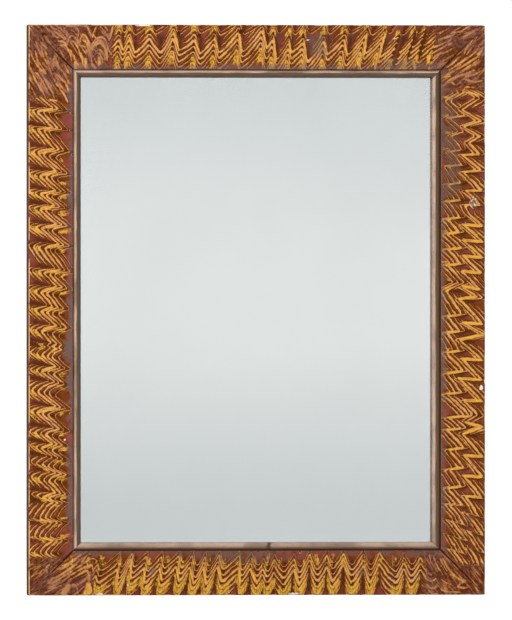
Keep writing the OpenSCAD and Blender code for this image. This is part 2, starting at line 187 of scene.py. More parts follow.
# Which way the glaze was dragged at a board's two ends, as millimetres across for each one along
END_DRAG = {"top": (1.5, -0.5), "bottom": (0.7, -1.3), "left": (0.75, -1.5), "right": (1.45, -0.8)}
# Dirt along the mitres, as how broad it lies and how strong, at a board's two ends
MITRE_DIRT = {"top": ((2.5, 0.4), (2.5, 0.3)), "left": ((2.5, 0.4), (2, 0.3)),
              "right": ((2, 0.2), (1.5, 0.25)), "bottom": ((1.5, 0.2), (1.5, 0.25))}

# Each comb: offsets of its teeth from the stroke in millimetres, and how broad each one bites, as a share
TOP_TEETH = [(-14, 0.5), (-7, 0.6), (0, 1.3), (7.2, 1.0), (14.4, 0.85), (21.4, 0.55), (28, 0.5)]
TOP_EDGE_TEETH = [(-14.4, 0.4), (-9.6, 0.45), (-4.8, 0.45), (0, 0.5)]
BOTTOM_TEETH = [(-23, 0.9), (-15.6, 1.05), (-8, 1.15), (0, 1.15), (7.8, 0.95), (15.2, 0.65), (22, 0.3)]
LEFT_TEETH = [(-22, 0.8), (-15, 0.95), (-7.5, 1.1), (0, 1.1), (7.1, 1.0), (13.8, 0.6), (22, 0.35)]
RIGHT_TEETH = [(-14, 0.55), (-7, 0.9), (0, 1.3), (7.5, 0.85), (14, 0.55)]
RIGHT_EDGE_TEETH = [(-16, 0.6), (-8.5, 0.85), (0, 1.45), (6.5, 0.7)]
# The faint last teeth of a comb that reached in under the bead: they touch only the board's inner edge
BESIDE_BEAD = [(40, 0.3), (46, 0.3)]
# How far each comb leaned at places along its board, as millimetres along for each one across
LEVEL = [(0, 0)]
TOP_LEAN = [(0, -0.05), (390, -0.08), (430, -0.33), (588, -0.35)]
BOTTOM_LEAN = [(0, 0.22), (200, 0.22), (300, 0.05), (420, 0.03), (588, 0.0)]
LEFT_LEAN = [(0, 0.2), (595, 0.2), (615, 0.0)]
RIGHT_LEAN = [(0, 0.0), (600, 0.0), (625, -0.35)]
RIGHT_EDGE_LEAN = [(0, -0.05), (240, -0.12), (590, -0.15), (620, -0.35)]
# The top's second comb turned between these distances in, and this far past each crest of the first
OVER_TURNS = (-4, 14)
OVER_SHIFTS = (1.5, 6.5)

# Where the glaze was wiped clean in a patch at each turn: "outer" or "inner" turn, from and to which
# distance in from the stroke, half its length, how far past the turn it lies, and how clean it is
WIPED_PATCHES = {
    "top": [("outer", -24, -9, 5.0, -1.5, 1.0), ("outer", 16, 40, 4.6, -0.5, 0.85)],
    "bottom": [("outer", -24, -3, 9.5, 1.5, 1.1), ("inner", 7, 20, 4.4, 1.0, 0.6)],
    "left": [("outer", -16, -3, 4.4, 2.0, 1.0), ("inner", 5, 17, 2.4, 4.5, 0.8)],
    "right": [("inner", -1, 9, 3.4, -1.0, 0.7)],
}
# Half width in millimetres of the broad bars that a board's two combs left where they went straight in or out
BAR_WIDTHS = {"top": (1.4, 0.0), "bottom": (1.7, 0.0), "left": (1.3, 0.0), "right": (1.6, 2.1)}
# How much of that width the bars have along each board, as places and shares
BAR_GROWTH = {
    "top": [(0, 0.8), (100, 1), (460, 1), (470, 0)],
    "bottom": [(0, 0.8), (300, 1), (485, 0.4)],
    "left": [(0, 1), (680, 1)],
    "right": [(80, 0.5), (150, 0.55), (235, 0.75), (256, 1), (600, 1), (615, 0)],
}
# A stroke is such a bar where it is this many times as steep as it is long, and reaches at least so far in
BAR_STEEPNESS = 2.2
BAR_SHORTEST = 10
# How broad the slanting strokes beside such bars are, as a share of the bar
SLANT_SHARES = {"top": 0.0, "bottom": 0.0, "left": 0.0, "right": 0.4}
# Shares that stay the same all along a board
ALWAYS = [(0, 1)]
NEVER = [(0, 0)]
# Where the main comb pressed lightly or was wiped over, as places along a board and shares of its bite
FAINT_STRETCHES = {"right": [(100, 1), (122, 0.45), (225, 0.5), (250, 1)]}
# Where the comb was lifted a little on its way back in, as places along a board and shares
LIGHT_FALLS = {"top": [(455, 0), (468, 0.9)]}
# Golden smears beside the beads, and at the top along the outer edge: from and to how far in, half length,
# how clean, and where they lie
SMEARS = {
    "bottom": (32, 57, 3.6, 0.72, [
        57, 78, 97, 117, 134, 155, 178, 198, 213, 231, 252, 271, 290, 306, 322, 336, 353, 372, 389,
        405, 431, 452, 470, 486, 505,
    ]),
    "left": (36, 57, 3.6, 0.95, [
        172, 202, 221, 240, 265, 289, 320, 343, 367, 391, 445, 462, 497, 522, 540, 558, 577, 602, 628,
        652,
    ]),
    "right": (42, 61, 3.4, 0.75, [
        65, 92, 114, 137, 160, 182, 202, 224, 246, 264, 284, 305, 324, 336, 369, 391, 415, 441, 468,
    ]),
    "top": (0, 6, 4.0, 0.85, [30, 48, 92, 127, 155]),
}
# How far the glaze stays untouched beyond a line's inner turns
LIFTED = {"top": 1.0, "bottom": 0.65, "left": 0.5, "right": 0.25}

# Bites out of the arrises: board, millimetres along, half length, depth of the bite
CHIPS = [
    ("top", 160, 15, 0.8), ("top", 340, 5, 0.5), ("bottom", 91, 6, 1.3), ("bottom", 346, 9, 1.5),
    ("right", 454, 3, 1.0), ("left", 300, 5, 0.6), ("left", 520, 4, 0.5), ("bottom", 480, 5, 0.6),
]

# How far in from the outer edge each mitre's crack opens, at a board's two ends
CRACK_STARTS = {"top": (27, 24), "bottom": (23, 11), "left": (27, 23), "right": (24, 11)}
# How much of each board's outer arris is rubbed, and how dirty each one is beside its bead
RUBBED_ARRIS = {"top": 0.5, "bottom": 0.45, "left": 0.65, "right": 0.45}
BEAD_GRIME = {"top": 0.55, "bottom": 0.45, "left": 0.8, "right": 0.5}
# How far the lines run together where the comb moved straight in or out
MERGED_FALLS = {"top": 1.0, "bottom": 0.4, "left": 0.5, "right": 0.9}
# The band on each bead's round that is partly rubbed gilt and partly a painted highlight on the side facing
# the light from the upper left: how far in from the frame's outer edge, its spread, its strength
RUBBED_AND_HIGHLIGHT_BANDS = {"top": (59.2, 2.6, 1.0), "bottom": (65.8, 7.5, 0.78), "left": (59.4, 2.6, 1.0),
                "right": (66.4, 3.4, 1.0)}
# How dark each bead's groove is, from dirt and painted shade, and how much painted shade lies on its round
# beside the glass
GROOVE_DIRT_AND_SHADE = {"top": 0.15, "bottom": 0.5, "left": 0.3, "right": 0.7}
GLASS_SIDE_SHADE = {"top": 0.75, "bottom": 0.0, "left": 0.3, "right": 0.0}
# Nicks in a bead's round and stains on it: middle along, spread, and depth in millimetres or strength
BEAD_NICKS = {"bottom": [(309, 4.5, 0.9), (430, 7, 0.5)]}
BEAD_STAINS = {"bottom": [(309, 4.0, 0.7)]}
# How much painted shade darkens the wall of each bead that drops to the glass
WALL_SHADE = {"top": 1.0, "bottom": 0.6, "left": 0.9, "right": 0.1}

# Worn places: dust, white ground or a dark stain, its middle along and in from the outer edge, its half
# length and half width, and its strength
WORN_PLACES = {
    "top": [
        ("dust", 372, 26, 15, 17, 0.8), ("dust", 475, 48, 26, 7, 0.6), ("dust", 300, 54, 60, 4, 0.5),
        ("dust", 259, 30, 26, 1.0, 0.9), ("white", 146, 1.2, 12, 0.8, 0.9),
        ("dark", 169, 1.0, 12, 1.2, 1.0), ("white", 359, 19, 2.6, 0.8, 0.9),
        ("white", 471, 17, 1.5, 1.3, 0.7), ("dark", 19, 13, 3.0, 3.0, 0.7),
        ("dark", 192, 11, 3, 3, 0.9), ("dark", 273, 9, 3, 4, 0.9), ("dark", 219, 14, 3, 3, 0.7),
    ],
    "bottom": [
        ("dust", 275, 49, 75, 9, 0.6), ("dust", 158, 31, 6, 5, 0.9), ("dust", 470, 52, 60, 5, 0.2),
        ("white", 92, 1.6, 4, 1.6, 1.0), ("white", 341, 1.6, 7, 1.6, 1.0),
        ("white", 127, 13, 1.5, 1.5, 0.9), ("white", 16, 13, 1.6, 1.3, 0.45),
        ("dust", 430, 30, 10, 5, 0.5),
    ],
    "left": [
        ("dust", 414, 50, 16, 8, 0.95), ("dust", 620, 52, 14, 6, 0.5),
        ("white", 528, 46, 1.6, 1.5, 0.9), ("dark", 604, 38, 2.2, 2.2, 0.9),
        ("white", 214, 30, 1.2, 1.2, 0.8), ("dust", 95, 5, 3, 2.5, 0.8), ("dust", 300, 53, 40, 4, 0.5),
    ],
    "right": [
        ("dust", 225, 14, 8, 6, 1.0), ("white", 226, 15, 9, 6, 0.34), ("white", 462, 5, 3.5, 2.5, 1.0),
        ("white", 251, 25, 1.4, 1.4, 0.9), ("dust", 628, 22, 4, 4, 0.9),
        ("dust", 155, 44, 95, 11, 0.65), ("dust", 196, 42, 36, 12, 0.8), ("dust", 420, 53, 90, 4, 0.5),
    ],
}

# Shortest run of a stroke in millimetres, counted on the slant of the comb, and how far each corner is set
# beyond the one before it, so that no two share a place
SHORTEST_STROKE = 0.2
CORNER_STEP = 0.001
# Marks further than this many millimetres from a place don't reach it
FAR = 9.0
# How far along a stroke the glaze gathers at its outer and its inner turns, and how far it stays untouched at
# the inner ones, in millimetres
OUTER_POOL = 3.2
INNER_POOL = 3.0
UNTOUCHED = 6.5
# The hand's unevenness, each as the scale of its waves and how high they are, in millimetres: a comb that
# wavers in and out, quickly and slowly, one that moves on unevenly, and a bead's worn round
QUICK_WAVER = (9.0, 0.45)
SLOW_WAVER = (30.0, 0.8)
UNEVEN_PULL = (14.0, 0.5)
WORN_ROUND = (34.0, 0.16)
# The scale of the dips in the hand-planed face, in millimetres
DIP_SCALE = 60.0
# A bead's mesh step along it in millimetres, and how many points go round each part of a section
BEAD_STEP = 1.5
ARRIS_POINTS = 6
EDGE_POINTS = 8
BACK_POINTS = 12
ROUND_POINTS = 22
# How light each backboard is, as a share of the plain pine's colour, as if from three planks
BACKBOARD_SHADES = {"backboard_upper": 0.9, "backboard_middle": 1.12, "backboard_lower": 0.8}
# Where the two lamps hang, where the floor's lamp points, and how wide they are, in metres
WINDOW_PLACE = (-2.0, -1.6, 2.2)
WINDOW_SIZE = 1.0
FLOOR_LAMP_PLACE = (0, -0.4, 4.0)
FLOOR_LAMP_AIM = (0, -0.2, 0)
FLOOR_LAMP_SIZE = 3.0

SEED = 1837


class PaintedBoardSettings(PropertyGroup):
    """Sizes and colours of the four painted boards"""
    step_along: FloatProperty(
        name="Mesh step along", description="Length of a mesh cell along a board",
        default=0.8 * MM, min=0.3 * MM, unit="LENGTH")
    step_across: FloatProperty(
        name="Mesh step across", description="Width of a mesh cell across a board's face",
        default=1.2 * MM, min=0.5 * MM, unit="LENGTH")
    arris: FloatProperty(
        name="Worn edge", description="Radius of the rubbed outer edges",
        default=1.2 * MM, min=0.3 * MM, unit="LENGTH")
    corner: FloatProperty(
        name="Corner", description="Radius of the frame's rubbed outer corners",
        default=2.5 * MM, min=0.0, unit="LENGTH")
    crack: FloatProperty(
        name="Mitre crack", description="Width of a mitre's crack beside the bead",
        default=0.9 * MM, min=0.1 * MM, unit="LENGTH")
    waviness: FloatProperty(
        name="Waviness", description="How far the hand-planed face dips",
        default=0.12 * MM, min=0.0, unit="LENGTH")
    line_width: FloatProperty(
        name="Line width", description="Width of the line that a comb's tooth lays bare",
        default=2.4 * MM, min=0.5 * MM, unit="LENGTH")
    ochre: FloatVectorProperty(
        name="Ochre", description="Ground colour that the comb lays bare",
        default=(0.35, 0.150, 0.020), size=3, min=0.0, max=1.0, subtype="COLOR")
    pale_ochre: FloatVectorProperty(
        name="Pale ochre", description="Ground colour where the comb rubbed hardest",
        default=(0.51, 0.272, 0.080), size=3, min=0.0, max=1.0, subtype="COLOR")
    glaze: FloatVectorProperty(
        name="Red-brown glaze", description="Glaze over the ochre",
        default=(0.165, 0.036, 0.026), size=3, min=0.0, max=1.0, subtype="COLOR")
    dark_glaze: FloatVectorProperty(
        name="Purple-brown glaze", description="Glaze where it lies thick",
        default=(0.116, 0.027, 0.004), size=3, min=0.0, max=1.0, subtype="COLOR")
    thin_glaze: FloatVectorProperty(
        name="Thin glaze", description="Glaze where the ochre glows through",
        default=(0.25, 0.078, 0.018), size=3, min=0.0, max=1.0, subtype="COLOR")
    plain_glaze: FloatVectorProperty(
        name="Plain glaze", description="Red-brown glaze that no tooth went through",
        default=(0.165, 0.034, 0.025), size=3, min=0.0, max=1.0, subtype="COLOR")
    purple_glaze: FloatVectorProperty(
        name="Purple glaze", description="The same glaze where it lies thick",
        default=(0.092, 0.025, 0.024), size=3, min=0.0, max=1.0, subtype="COLOR")
    warm_glaze: FloatVectorProperty(
        name="Warm glaze", description="Glaze that lies thin between close lines",
        default=(0.108, 0.024, 0.001), size=3, min=0.0, max=1.0, subtype="COLOR")
    mauve: FloatVectorProperty(
        name="Mauve wash", description="Thin cloudy wash at the boards' ends",
        default=(0.172, 0.072, 0.054), size=3, min=0.0, max=1.0, subtype="COLOR")
    dull_ochre: FloatVectorProperty(
        name="Dull ochre", description="Ground that shows dully where the brush dragged",
        default=(0.245, 0.116, 0.062), size=3, min=0.0, max=1.0, subtype="COLOR")
    gold: FloatVectorProperty(
        name="Gold", description="Ground colour where the glaze was wiped clean away",
        default=(0.53, 0.288, 0.033), size=3, min=0.0, max=1.0, subtype="COLOR")
    ridge: FloatVectorProperty(
        name="Ridge", description="Glaze pushed up beside a tooth",
        default=(0.045, 0.0098, 0.0002), size=3, min=0.0, max=1.0, subtype="COLOR")
    edge_glaze: FloatVectorProperty(
        name="Edge glaze", description="Plain dark glaze round the outer edges",
        default=(0.046, 0.015, 0.006), size=3, min=0.0, max=1.0, subtype="COLOR")
    rubbed: FloatVectorProperty(
        name="Rubbed arris", description="Cream ground where an arris is rubbed",
        default=(0.50, 0.31, 0.13), size=3, min=0.0, max=1.0, subtype="COLOR")
    grime: FloatVectorProperty(
        name="Grime", description="Purple-grey dirt beside the beads",
        default=(0.115, 0.072, 0.070), size=3, min=0.0, max=1.0, subtype="COLOR")
    tan: FloatVectorProperty(
        name="Tan", description="Duller, pinkish ground in some stretches",
        default=(0.44, 0.242, 0.110), size=3, min=0.0, max=1.0, subtype="COLOR")
    dust: FloatVectorProperty(
        name="Dust", description="Grey-brown bloom on worn places",
        default=(0.105, 0.070, 0.053), size=3, min=0.0, max=1.0, subtype="COLOR")
    bare_ground: FloatVectorProperty(
        name="Bare ground", description="Off-white where a chip went through all the paint",
        default=(0.62, 0.53, 0.43), size=3, min=0.0, max=1.0, subtype="COLOR")
    bare_wood: FloatVectorProperty(
        name="Bare wood", description="Pine where the paint is gone",
        default=(0.70, 0.58, 0.42), size=3, min=0.0, max=1.0, subtype="COLOR")


class BeadSettings(PropertyGroup):
    """Sizes and colours of the four beads"""
    quirk_width: FloatProperty(
        name="Quirk width", description="Width of the groove between board and bead",
        default=1.3 * MM, min=0.3 * MM, unit="LENGTH")
    quirk_depth: FloatProperty(
        name="Quirk depth", description="Depth of the groove",
        default=2.8 * MM, min=0.5 * MM, unit="LENGTH")
    gap: FloatProperty(
        name="Corner gap", description="Crack between two bead strips at a corner",
        default=0.3 * MM, min=0.05 * MM, unit="LENGTH")
    gilt: FloatVectorProperty(
        name="Worn gilt", description="Bronzed colour of the round",
        default=(0.055, 0.029, 0.012), size=3, min=0.0, max=1.0, subtype="COLOR")
    bronze: FloatVectorProperty(
        name="Bronze", description="Warmer streaks along the round",
        default=(0.105, 0.060, 0.026), size=3, min=0.0, max=1.0, subtype="COLOR")
    # This colour also stands for the painted highlight on the lit side of each round
    rubbed: FloatVectorProperty(
        name="Rubbed gilt", description="Pale pinkish ground where the round is rubbed",
        default=(0.40, 0.270, 0.200), size=3, min=0.0, max=1.0, subtype="COLOR")
    # This colour also stands for the painted shade in the groove, on the wall and beside the glass
    grime: FloatVectorProperty(
        name="Grime", description="Dirt in the groove and in the nicks",
        default=(0.045, 0.022, 0.015), size=3, min=0.0, max=1.0, subtype="COLOR")


class GlassSettings(PropertyGroup):
    """Sizes and colours of the plate and its silvering"""
    ground_edge: FloatProperty(
        name="Ground edge", description="Width of the bevel ground round the plate",
        default=0.5 * MM, min=0.05 * MM, unit="LENGTH")
    film_gap: FloatProperty(
        name="Film gap", description="Clear space between the plate and its silvering",
        default=0.05 * MM, min=0.005 * MM, unit="LENGTH")
    glass: FloatVectorProperty(
        name="Glass", description="Faint green of the old plate",
        default=(0.975, 0.99, 0.983), size=3, min=0.0, max=1.0, subtype="COLOR")
    silver: FloatVectorProperty(
        name="Silvering", description="Dulled grey of the old silvering",
        default=(0.719, 0.733, 0.738), size=3, min=0.0, max=1.0, subtype="COLOR")
    # Darker silvering, used for the painted shade in the reflection low down and high up and for faint clouds
    shaded_and_clouded_silver: FloatVectorProperty(
        name="Clouded silvering", description="Where damp has dulled the silvering",
        default=(0.522, 0.547, 0.557), size=3, min=0.0, max=1.0, subtype="COLOR")
    specks: FloatVectorProperty(
        name="Specks", description="Small grey specks in the silvering",
        default=(0.30, 0.31, 0.30), size=3, min=0.0, max=1.0, subtype="COLOR")


class BackSettings(PropertyGroup):
    """Colours of the wood, iron and brass behind"""
    pine: FloatVectorProperty(
        name="Pine", description="Bare pine, browned with age",
        default=(0.28, 0.155, 0.066), size=3, min=0.0, max=1.0, subtype="COLOR")
    late_wood: FloatVectorProperty(
        name="Late wood", description="Dark lines of the pine's grain",
        default=(0.125, 0.056, 0.022), size=3, min=0.0, max=1.0, subtype="COLOR")
    joint_dirt: FloatVectorProperty(
        name="Joint dirt", description="Dirt along the joints between the backboards",
        default=(0.035, 0.018, 0.009), size=3, min=0.0, max=1.0, subtype="COLOR")
    iron: FloatVectorProperty(
        name="Nail iron", description="Oxidised iron of the cut nails",
        default=(0.045, 0.033, 0.028), size=3, min=0.0, max=1.0, subtype="COLOR")
    rust: FloatVectorProperty(
        name="Rust", description="Rust in the pits of the nails",
        default=(0.16, 0.055, 0.022), size=3, min=0.0, max=1.0, subtype="COLOR")
    brass: FloatVectorProperty(
        name="Brass", description="Tarnished brass of the hangers",
        default=(0.40, 0.255, 0.092), size=3, min=0.0, max=1.0, subtype="COLOR")
    tarnish: FloatVectorProperty(
        name="Tarnish", description="Brown tarnish on the brass",
        default=(0.15, 0.085, 0.035), size=3, min=0.0, max=1.0, subtype="COLOR")


class StageSettings(PropertyGroup):
    """Floor, lights and camera"""
    floor_size: FloatProperty(
        name="Floor size", description="Width and depth of the plain floor",
        default=200.0, min=2.0, unit="LENGTH")
    distance: FloatProperty(
        name="Camera distance", description="From the camera to the middle of the frame",
        default=30.0, min=1.0, unit="LENGTH")
    turn: FloatProperty(
        name="Camera turn", description="How far round to the left the camera stands",
        default=math.radians(9.0), subtype="ANGLE")
    rise: FloatProperty(
        name="Camera rise", description="How far above the middle the camera stands",
        default=0.0, subtype="ANGLE")
    view_height: FloatProperty(
        name="View height", description="Height of the picture at the frame",
        default=0.7895, min=0.1, unit="LENGTH")
    floor_colour: FloatVectorProperty(
        name="Floor colour", description="Plain pale floor",
        default=(0.95, 0.95, 0.945), size=3, min=0.0, max=1.0, subtype="COLOR")
    room_light: FloatProperty(
        name="Room light", description="Strength of the even light all round",
        default=1.08, min=0.0)
    window_light: FloatProperty(
        name="Window light", description="Power of the large lamp at the upper left, in watts",
        default=60.0, min=0.0)
    floor_light: FloatProperty(
        name="Floor light", description="Power of the lamp above the floor, in watts",
        default=60.0, min=0.0)


class Wiring:
    """Short calls that add and link the nodes of one material"""

    def __init__(self, name):
        self.material = bpy.data.materials.new(name)
        self.material.use_nodes = True
        self.tree = self.material.node_tree
        self.tree.nodes.clear()
        self.output = self.tree.nodes.new("ShaderNodeOutputMaterial")
        self.shader = self.tree.nodes.new("ShaderNodeBsdfPrincipled")
        self.tree.links.new(self.shader.outputs["BSDF"], self.output.inputs["Surface"])
        place = self.tree.nodes.new("ShaderNodeTexCoord")
        self.place = place.outputs["Object"]

    def put(self, socket, value):
        """A number or colour goes on the socket itself, and a node's output is linked"""
        if isinstance(value, bpy.types.NodeSocket):
            self.tree.links.new(value, socket)
        elif hasattr(value, "__len__") and len(value) == 3 and socket.type == "RGBA":
            socket.default_value = (*value, 1.0)
        else:
            socket.default_value = value

    def set(self, **values):
        """Sets the main shader's sockets; an underscore stands for a space"""
        for name, value in values.items():
            self.put(self.shader.inputs[name.replace("_", " ")], value)

    def attribute(self, name):
        """A number that the mesh stores at each point"""
        node = self.tree.nodes.new("ShaderNodeAttribute")
        node.attribute_name = name
        return node.outputs["Fac"]

    def height(self):
        """Height above the frame's foot, in metres"""
        node = self.tree.nodes.new("ShaderNodeSeparateXYZ")
        self.put(node.inputs[0], self.place)
        return node.outputs[2]

    def math(self, operation, first, second=0.0):
        """One sum of two numbers or outputs"""
        node = self.tree.nodes.new("ShaderNodeMath")
        node.operation = operation
        self.put(node.inputs[0], first)
        self.put(node.inputs[1], second)
        return node.outputs[0]

    def times(self, first, second):
        return self.math("MULTIPLY", first, second)

    def plus(self, first, second):
        return self.math("ADD", first, second)

    def minus(self, first, second):
        return self.math("SUBTRACT", first, second)

    def least(self, first, second):
        return self.math("MINIMUM", first, second)

    def most(self, first, second):
        return self.math("MAXIMUM", first, second)

    def smooth(self, value, low, high, start=0.0, end=1.0):
        """Rises smoothly from start to end while value goes from low to high"""
        node = self.tree.nodes.new("ShaderNodeMapRange")
        node.interpolation_type = "SMOOTHSTEP"
        for name, amount in zip(("Value", "From Min", "From Max", "To Min", "To Max"),
                                (value, low, high, start, end)):
            self.put(node.inputs[name], amount)
        return node.outputs[0]

    def spread(self, noise, start, end):
        """Spreads a noise, most of which lies between 0.3 and 0.7, smoothly from start to end"""
        return self.smooth(noise, 0.3, 0.7, start, end)

    def average(self, factor, first, second):
        """A number that goes from first to second as factor goes from 0 to 1"""
        node = self.tree.nodes.new("ShaderNodeMix")
        node.data_type = "FLOAT"
        self.put(node.inputs[0], factor)
        self.put(node.inputs[2], first)
        self.put(node.inputs[3], second)
        return node.outputs[0]

    def blend(self, factor, first, second, kind="MIX"):
        """A colour that goes from first to second as factor goes from 0 to 1, or their product"""
        node = self.tree.nodes.new("ShaderNodeMix")
        node.data_type = "RGBA"
        node.blend_type = kind
        self.put(node.inputs[0], factor)
        self.put(node.inputs[6], first)
        self.put(node.inputs[7], second)
        return node.outputs[2]

    def combine(self, x, y):
        """Two numbers as a place, for a noise that follows the combs"""
        node = self.tree.nodes.new("ShaderNodeCombineXYZ")
        for socket, value in zip(node.inputs, (x, y)):
            self.put(socket, value)
        return node.outputs[0]

    def stretch(self, vector, scale):
        """A place with each of its axes scaled"""
        node = self.tree.nodes.new("ShaderNodeVectorMath")
        node.operation = "MULTIPLY"
        self.put(node.inputs[0], vector)
        node.inputs[1].default_value = scale
        return node.outputs[0]

    def noise(self, vector, scale, detail=2.0, roughness=0.5, distortion=0.0):
        """Cloudy noise, given by its waves to one unit of its vector, its finer layers and their strength"""
        node = self.tree.nodes.new("ShaderNodeTexNoise")
        self.put(node.inputs["Vector"], vector)
        node.inputs["Scale"].default_value = scale
        node.inputs["Detail"].default_value = detail
        node.inputs["Roughness"].default_value = roughness
        node.inputs["Distortion"].default_value = distortion
        return node.outputs[0]

    def cells(self, vector, scale):
        """Distance to the nearest of many scattered points"""
        node = self.tree.nodes.new("ShaderNodeTexVoronoi")
        self.put(node.inputs["Vector"], vector)
        node.inputs["Scale"].default_value = scale
        return node.outputs["Distance"]

    def bump(self, height, distance, strength):
        """Raises the surface by a height"""
        node = self.tree.nodes.new("ShaderNodeBump")
        node.inputs["Strength"].default_value = strength
        node.inputs["Distance"].default_value = distance
        self.put(node.inputs["Height"], height)
        self.tree.links.new(node.outputs[0], self.shader.inputs["Normal"])


def side_length(side):
    """How long a board is at its outer edge, in millimetres"""
    return FRAME_W if side in ("top", "bottom") else FRAME_H


def to_frame(side, along, across, depth):
    """Places on a board or bead, in millimetres, as places in the frame, in metres"""
    x, z = {
        "top": (along - FRAME_W / 2, FRAME_H - across),
        "bottom": (along - FRAME_W / 2, across),
        "left": (across - FRAME_W / 2, FRAME_H - along),
        "right": (FRAME_W / 2 - across, FRAME_H - along),
    }[side]
    return np.stack([x, FRONT_Y + depth, z], axis=-1) * MM


def share_along(shares, along):
    """A share that changes evenly from place to place along a board"""
    places, values = zip(*shares)
    return np.interp(along, places, values)


class CombPass:
    """One pull of a comb along a board: its zigzag path, its teeth and how it turns"""

    def __init__(self, corners, teeth, lean, turns, bends):
        """turns and bends each give the outer turns or outward strokes first, then the inner ones"""
        self.corners = corners = np.array(corners, float)
        self.teeth = np.array(teeth, float)
        self.lean = lean
        self.height = corners[:, 1]
        places = self.run_at(corners[:, 0], self.height) + CORNER_STEP * np.arange(len(corners))
        onward = np.maximum.accumulate(places)
        self.length = np.maximum(np.diff(onward), SHORTEST_STROKE)
        self.run = onward[0] + np.concatenate([[0], np.cumsum(self.length)])
        self.rise = np.diff(self.height)
        self.bend = np.where(self.rise < 0, *bends)
        self.outer = np.r_[False, (self.rise[:-1] < 0) & (self.rise[1:] > 0), False]
        self.inner = np.r_[False, (self.rise[:-1] > 0) & (self.rise[1:] < 0), False]
        shorter = np.minimum(np.r_[self.length, self.length[-1]], np.r_[self.length[0], self.length])
        self.turn = np.minimum(np.where(self.outer, *turns), shorter * 0.9)
        slope = self.rise / self.length
        after = np.r_[slope * (1 - self.bend), 0]
        before = np.r_[0, slope * (1 + self.bend)]
        self.kink = after - before
        self.kink[0] = self.kink[-1] = 0

    def run_at(self, along, across):
        """Distance along the stroke, counted on the slant at which the comb was held"""
        return along - share_along(self.lean, along) * (across - RAIL_W / 2)

    def height_at(self, run):
        """How far in the comb is, with its turns rounded"""
        piece = np.clip(np.searchsorted(self.run, run) - 1, 0, len(self.length) - 1)
        share = np.clip((run - self.run[piece]) / self.length[piece], 0, 1)
        eased = share + self.bend[piece] * share * (share - 1)
        height = self.height[piece] + self.rise[piece] * eased
        for corner in (piece, piece + 1):
            turn = self.turn[corner]
            inside = np.maximum(turn - np.abs(run - self.run[corner]), 0)
            height = height + self.kink[corner] * inside ** 2 / (4 * turn)
        return height

    def past_turn(self, run, turns):
        """Signed distance along the stroke from the nearest of the chosen turns"""
        places = self.run[turns]
        halfway = (places[:-1] + places[1:]) / 2
        return run - places[np.searchsorted(halfway, run)]

    def bar_distance(self, along, across, bar_width, slant_share, growth):
        """Distance outside the nearest broad bar or bold slanting stroke, in millimetres"""
        nearest = np.full_like(along, FAR)
        for first, last in zip(self.corners[:-1], self.corners[1:]):
            step = last - first
            steep = abs(step[1]) > max(BAR_SHORTEST, BAR_STEEPNESS * abs(step[0]))
            half_width = bar_width * (1 if steep else slant_share) * share_along(growth, first[0])
            if half_width == 0:
                continue
            close = np.abs(along - (first[0] + last[0]) / 2) < abs(step[0]) / 2 + FAR
            places = np.stack([along[close], across[close]], axis=-1) - first
            share = np.clip(places @ step / (step @ step), 0, 1)
            distance = np.linalg.norm(places - share[:, None] * step, axis=-1)
            taper = half_width * (0.55 + 0.9 * np.sqrt(share * (1 - share)))
            nearest[close] = np.minimum(nearest[close], distance - taper)
        return nearest

    def near(self, run, turns, reach):
        """How near the closest of the chosen turns is, from 0 far away to 1"""
        return np.exp(-(self.past_turn(run, turns) / reach) ** 2)

    def tooth_at(self, offset):
        """Which tooth went by at a distance in from the stroke, as a number, and how far apart they stand"""
        places = self.teeth[:, 0]
        number = np.interp(offset, places, np.arange(len(places)))
        number = np.where(offset < places[0], (offset - places[0]) / (places[1] - places[0]), number)
        last = places[-1] - places[-2]
        number = np.where(offset > places[-1], len(places) - 1 + (offset - places[-1]) / last, number)
        return number, np.interp(offset, (places[:-1] + places[1:]) / 2, np.diff(places))

    def marks(self, along, across, patches, light_falls, rng):
        """Tooth number, spacing, bite, cover, gathered glaze and wiped patches at each place"""
        wander = slow_noise(along, across, *QUICK_WAVER, rng) + slow_noise(along, across, *SLOW_WAVER, rng)
        run = self.run_at(along, across) + slow_noise(along, across, *UNEVEN_PULL, rng)
        step = 0.15
        here = self.height_at(run)
        slope = (self.height_at(run + step) - here) / step
        steep = np.sqrt(slope ** 2 + (1 + share_along(self.lean, along) * slope) ** 2)
        offset = across - here + wander
        number, pitch = self.tooth_at(offset)
        places, bites = self.teeth.T
        outside = np.maximum(places[0] - offset, offset - places[-1])
        cover = np.clip(1.15 - outside / (0.5 * pitch), 0, 1)
        near_outer = self.near(run, self.outer, OUTER_POOL)
        near_inner = self.near(run, self.inner, INNER_POOL)
        lifted = self.near(run, self.inner, UNTOUCHED) * np.clip((-2 - offset) / 6, 0, 1)
        bite = np.interp(offset, places, bites) * np.clip(cover * 3, 0, 1)
        bite = bite * (0.92 + 0.25 * near_outer) * (1 - 0.85 * lifted)
        falling = np.clip(slope * 0.8, 0, 1) * share_along(light_falls, along)
        bite = bite * (1 - falling)
        pool = np.maximum(near_outer, near_inner * 0.9) * np.clip(2.2 - outside / 4, 0, 1)
        wiped = np.zeros_like(along)
        for kind, low, high, half, shift, strength in patches:
            away = (self.past_turn(run, getattr(self, kind)) - shift) / half
            inside = np.clip((offset - low) / 5, 0, 1) * np.clip((high - offset) / 5, 0, 1)
            wiped = np.maximum(wiped, strength * inside * np.clip(1.3 - away ** 2, 0, 1))
        return {"comb": number, "reach": pitch / steep, "bite": bite, "cover": cover, "pool": pool,
                "wiped": wiped, "lifted": lifted}


def curve_through(points, steps=6):
    """A smooth path through a stroke's points"""
    path = np.array([points[0]] + list(points) + [points[-1]], float)
    share = np.linspace(0, 1, steps, endpoint=False)[:, None]
    pieces = []
    for a, b, c, d in zip(path[:-3], path[1:-2], path[2:-1], path[3:]):
        pieces.append(0.5 * (2 * b + (c - a) * share + (2 * a - 5 * b + 4 * c - d) * share ** 2
                             + (3 * b - a - 3 * c + d) * share ** 3))
    return np.vstack(pieces + [path[-1:]])


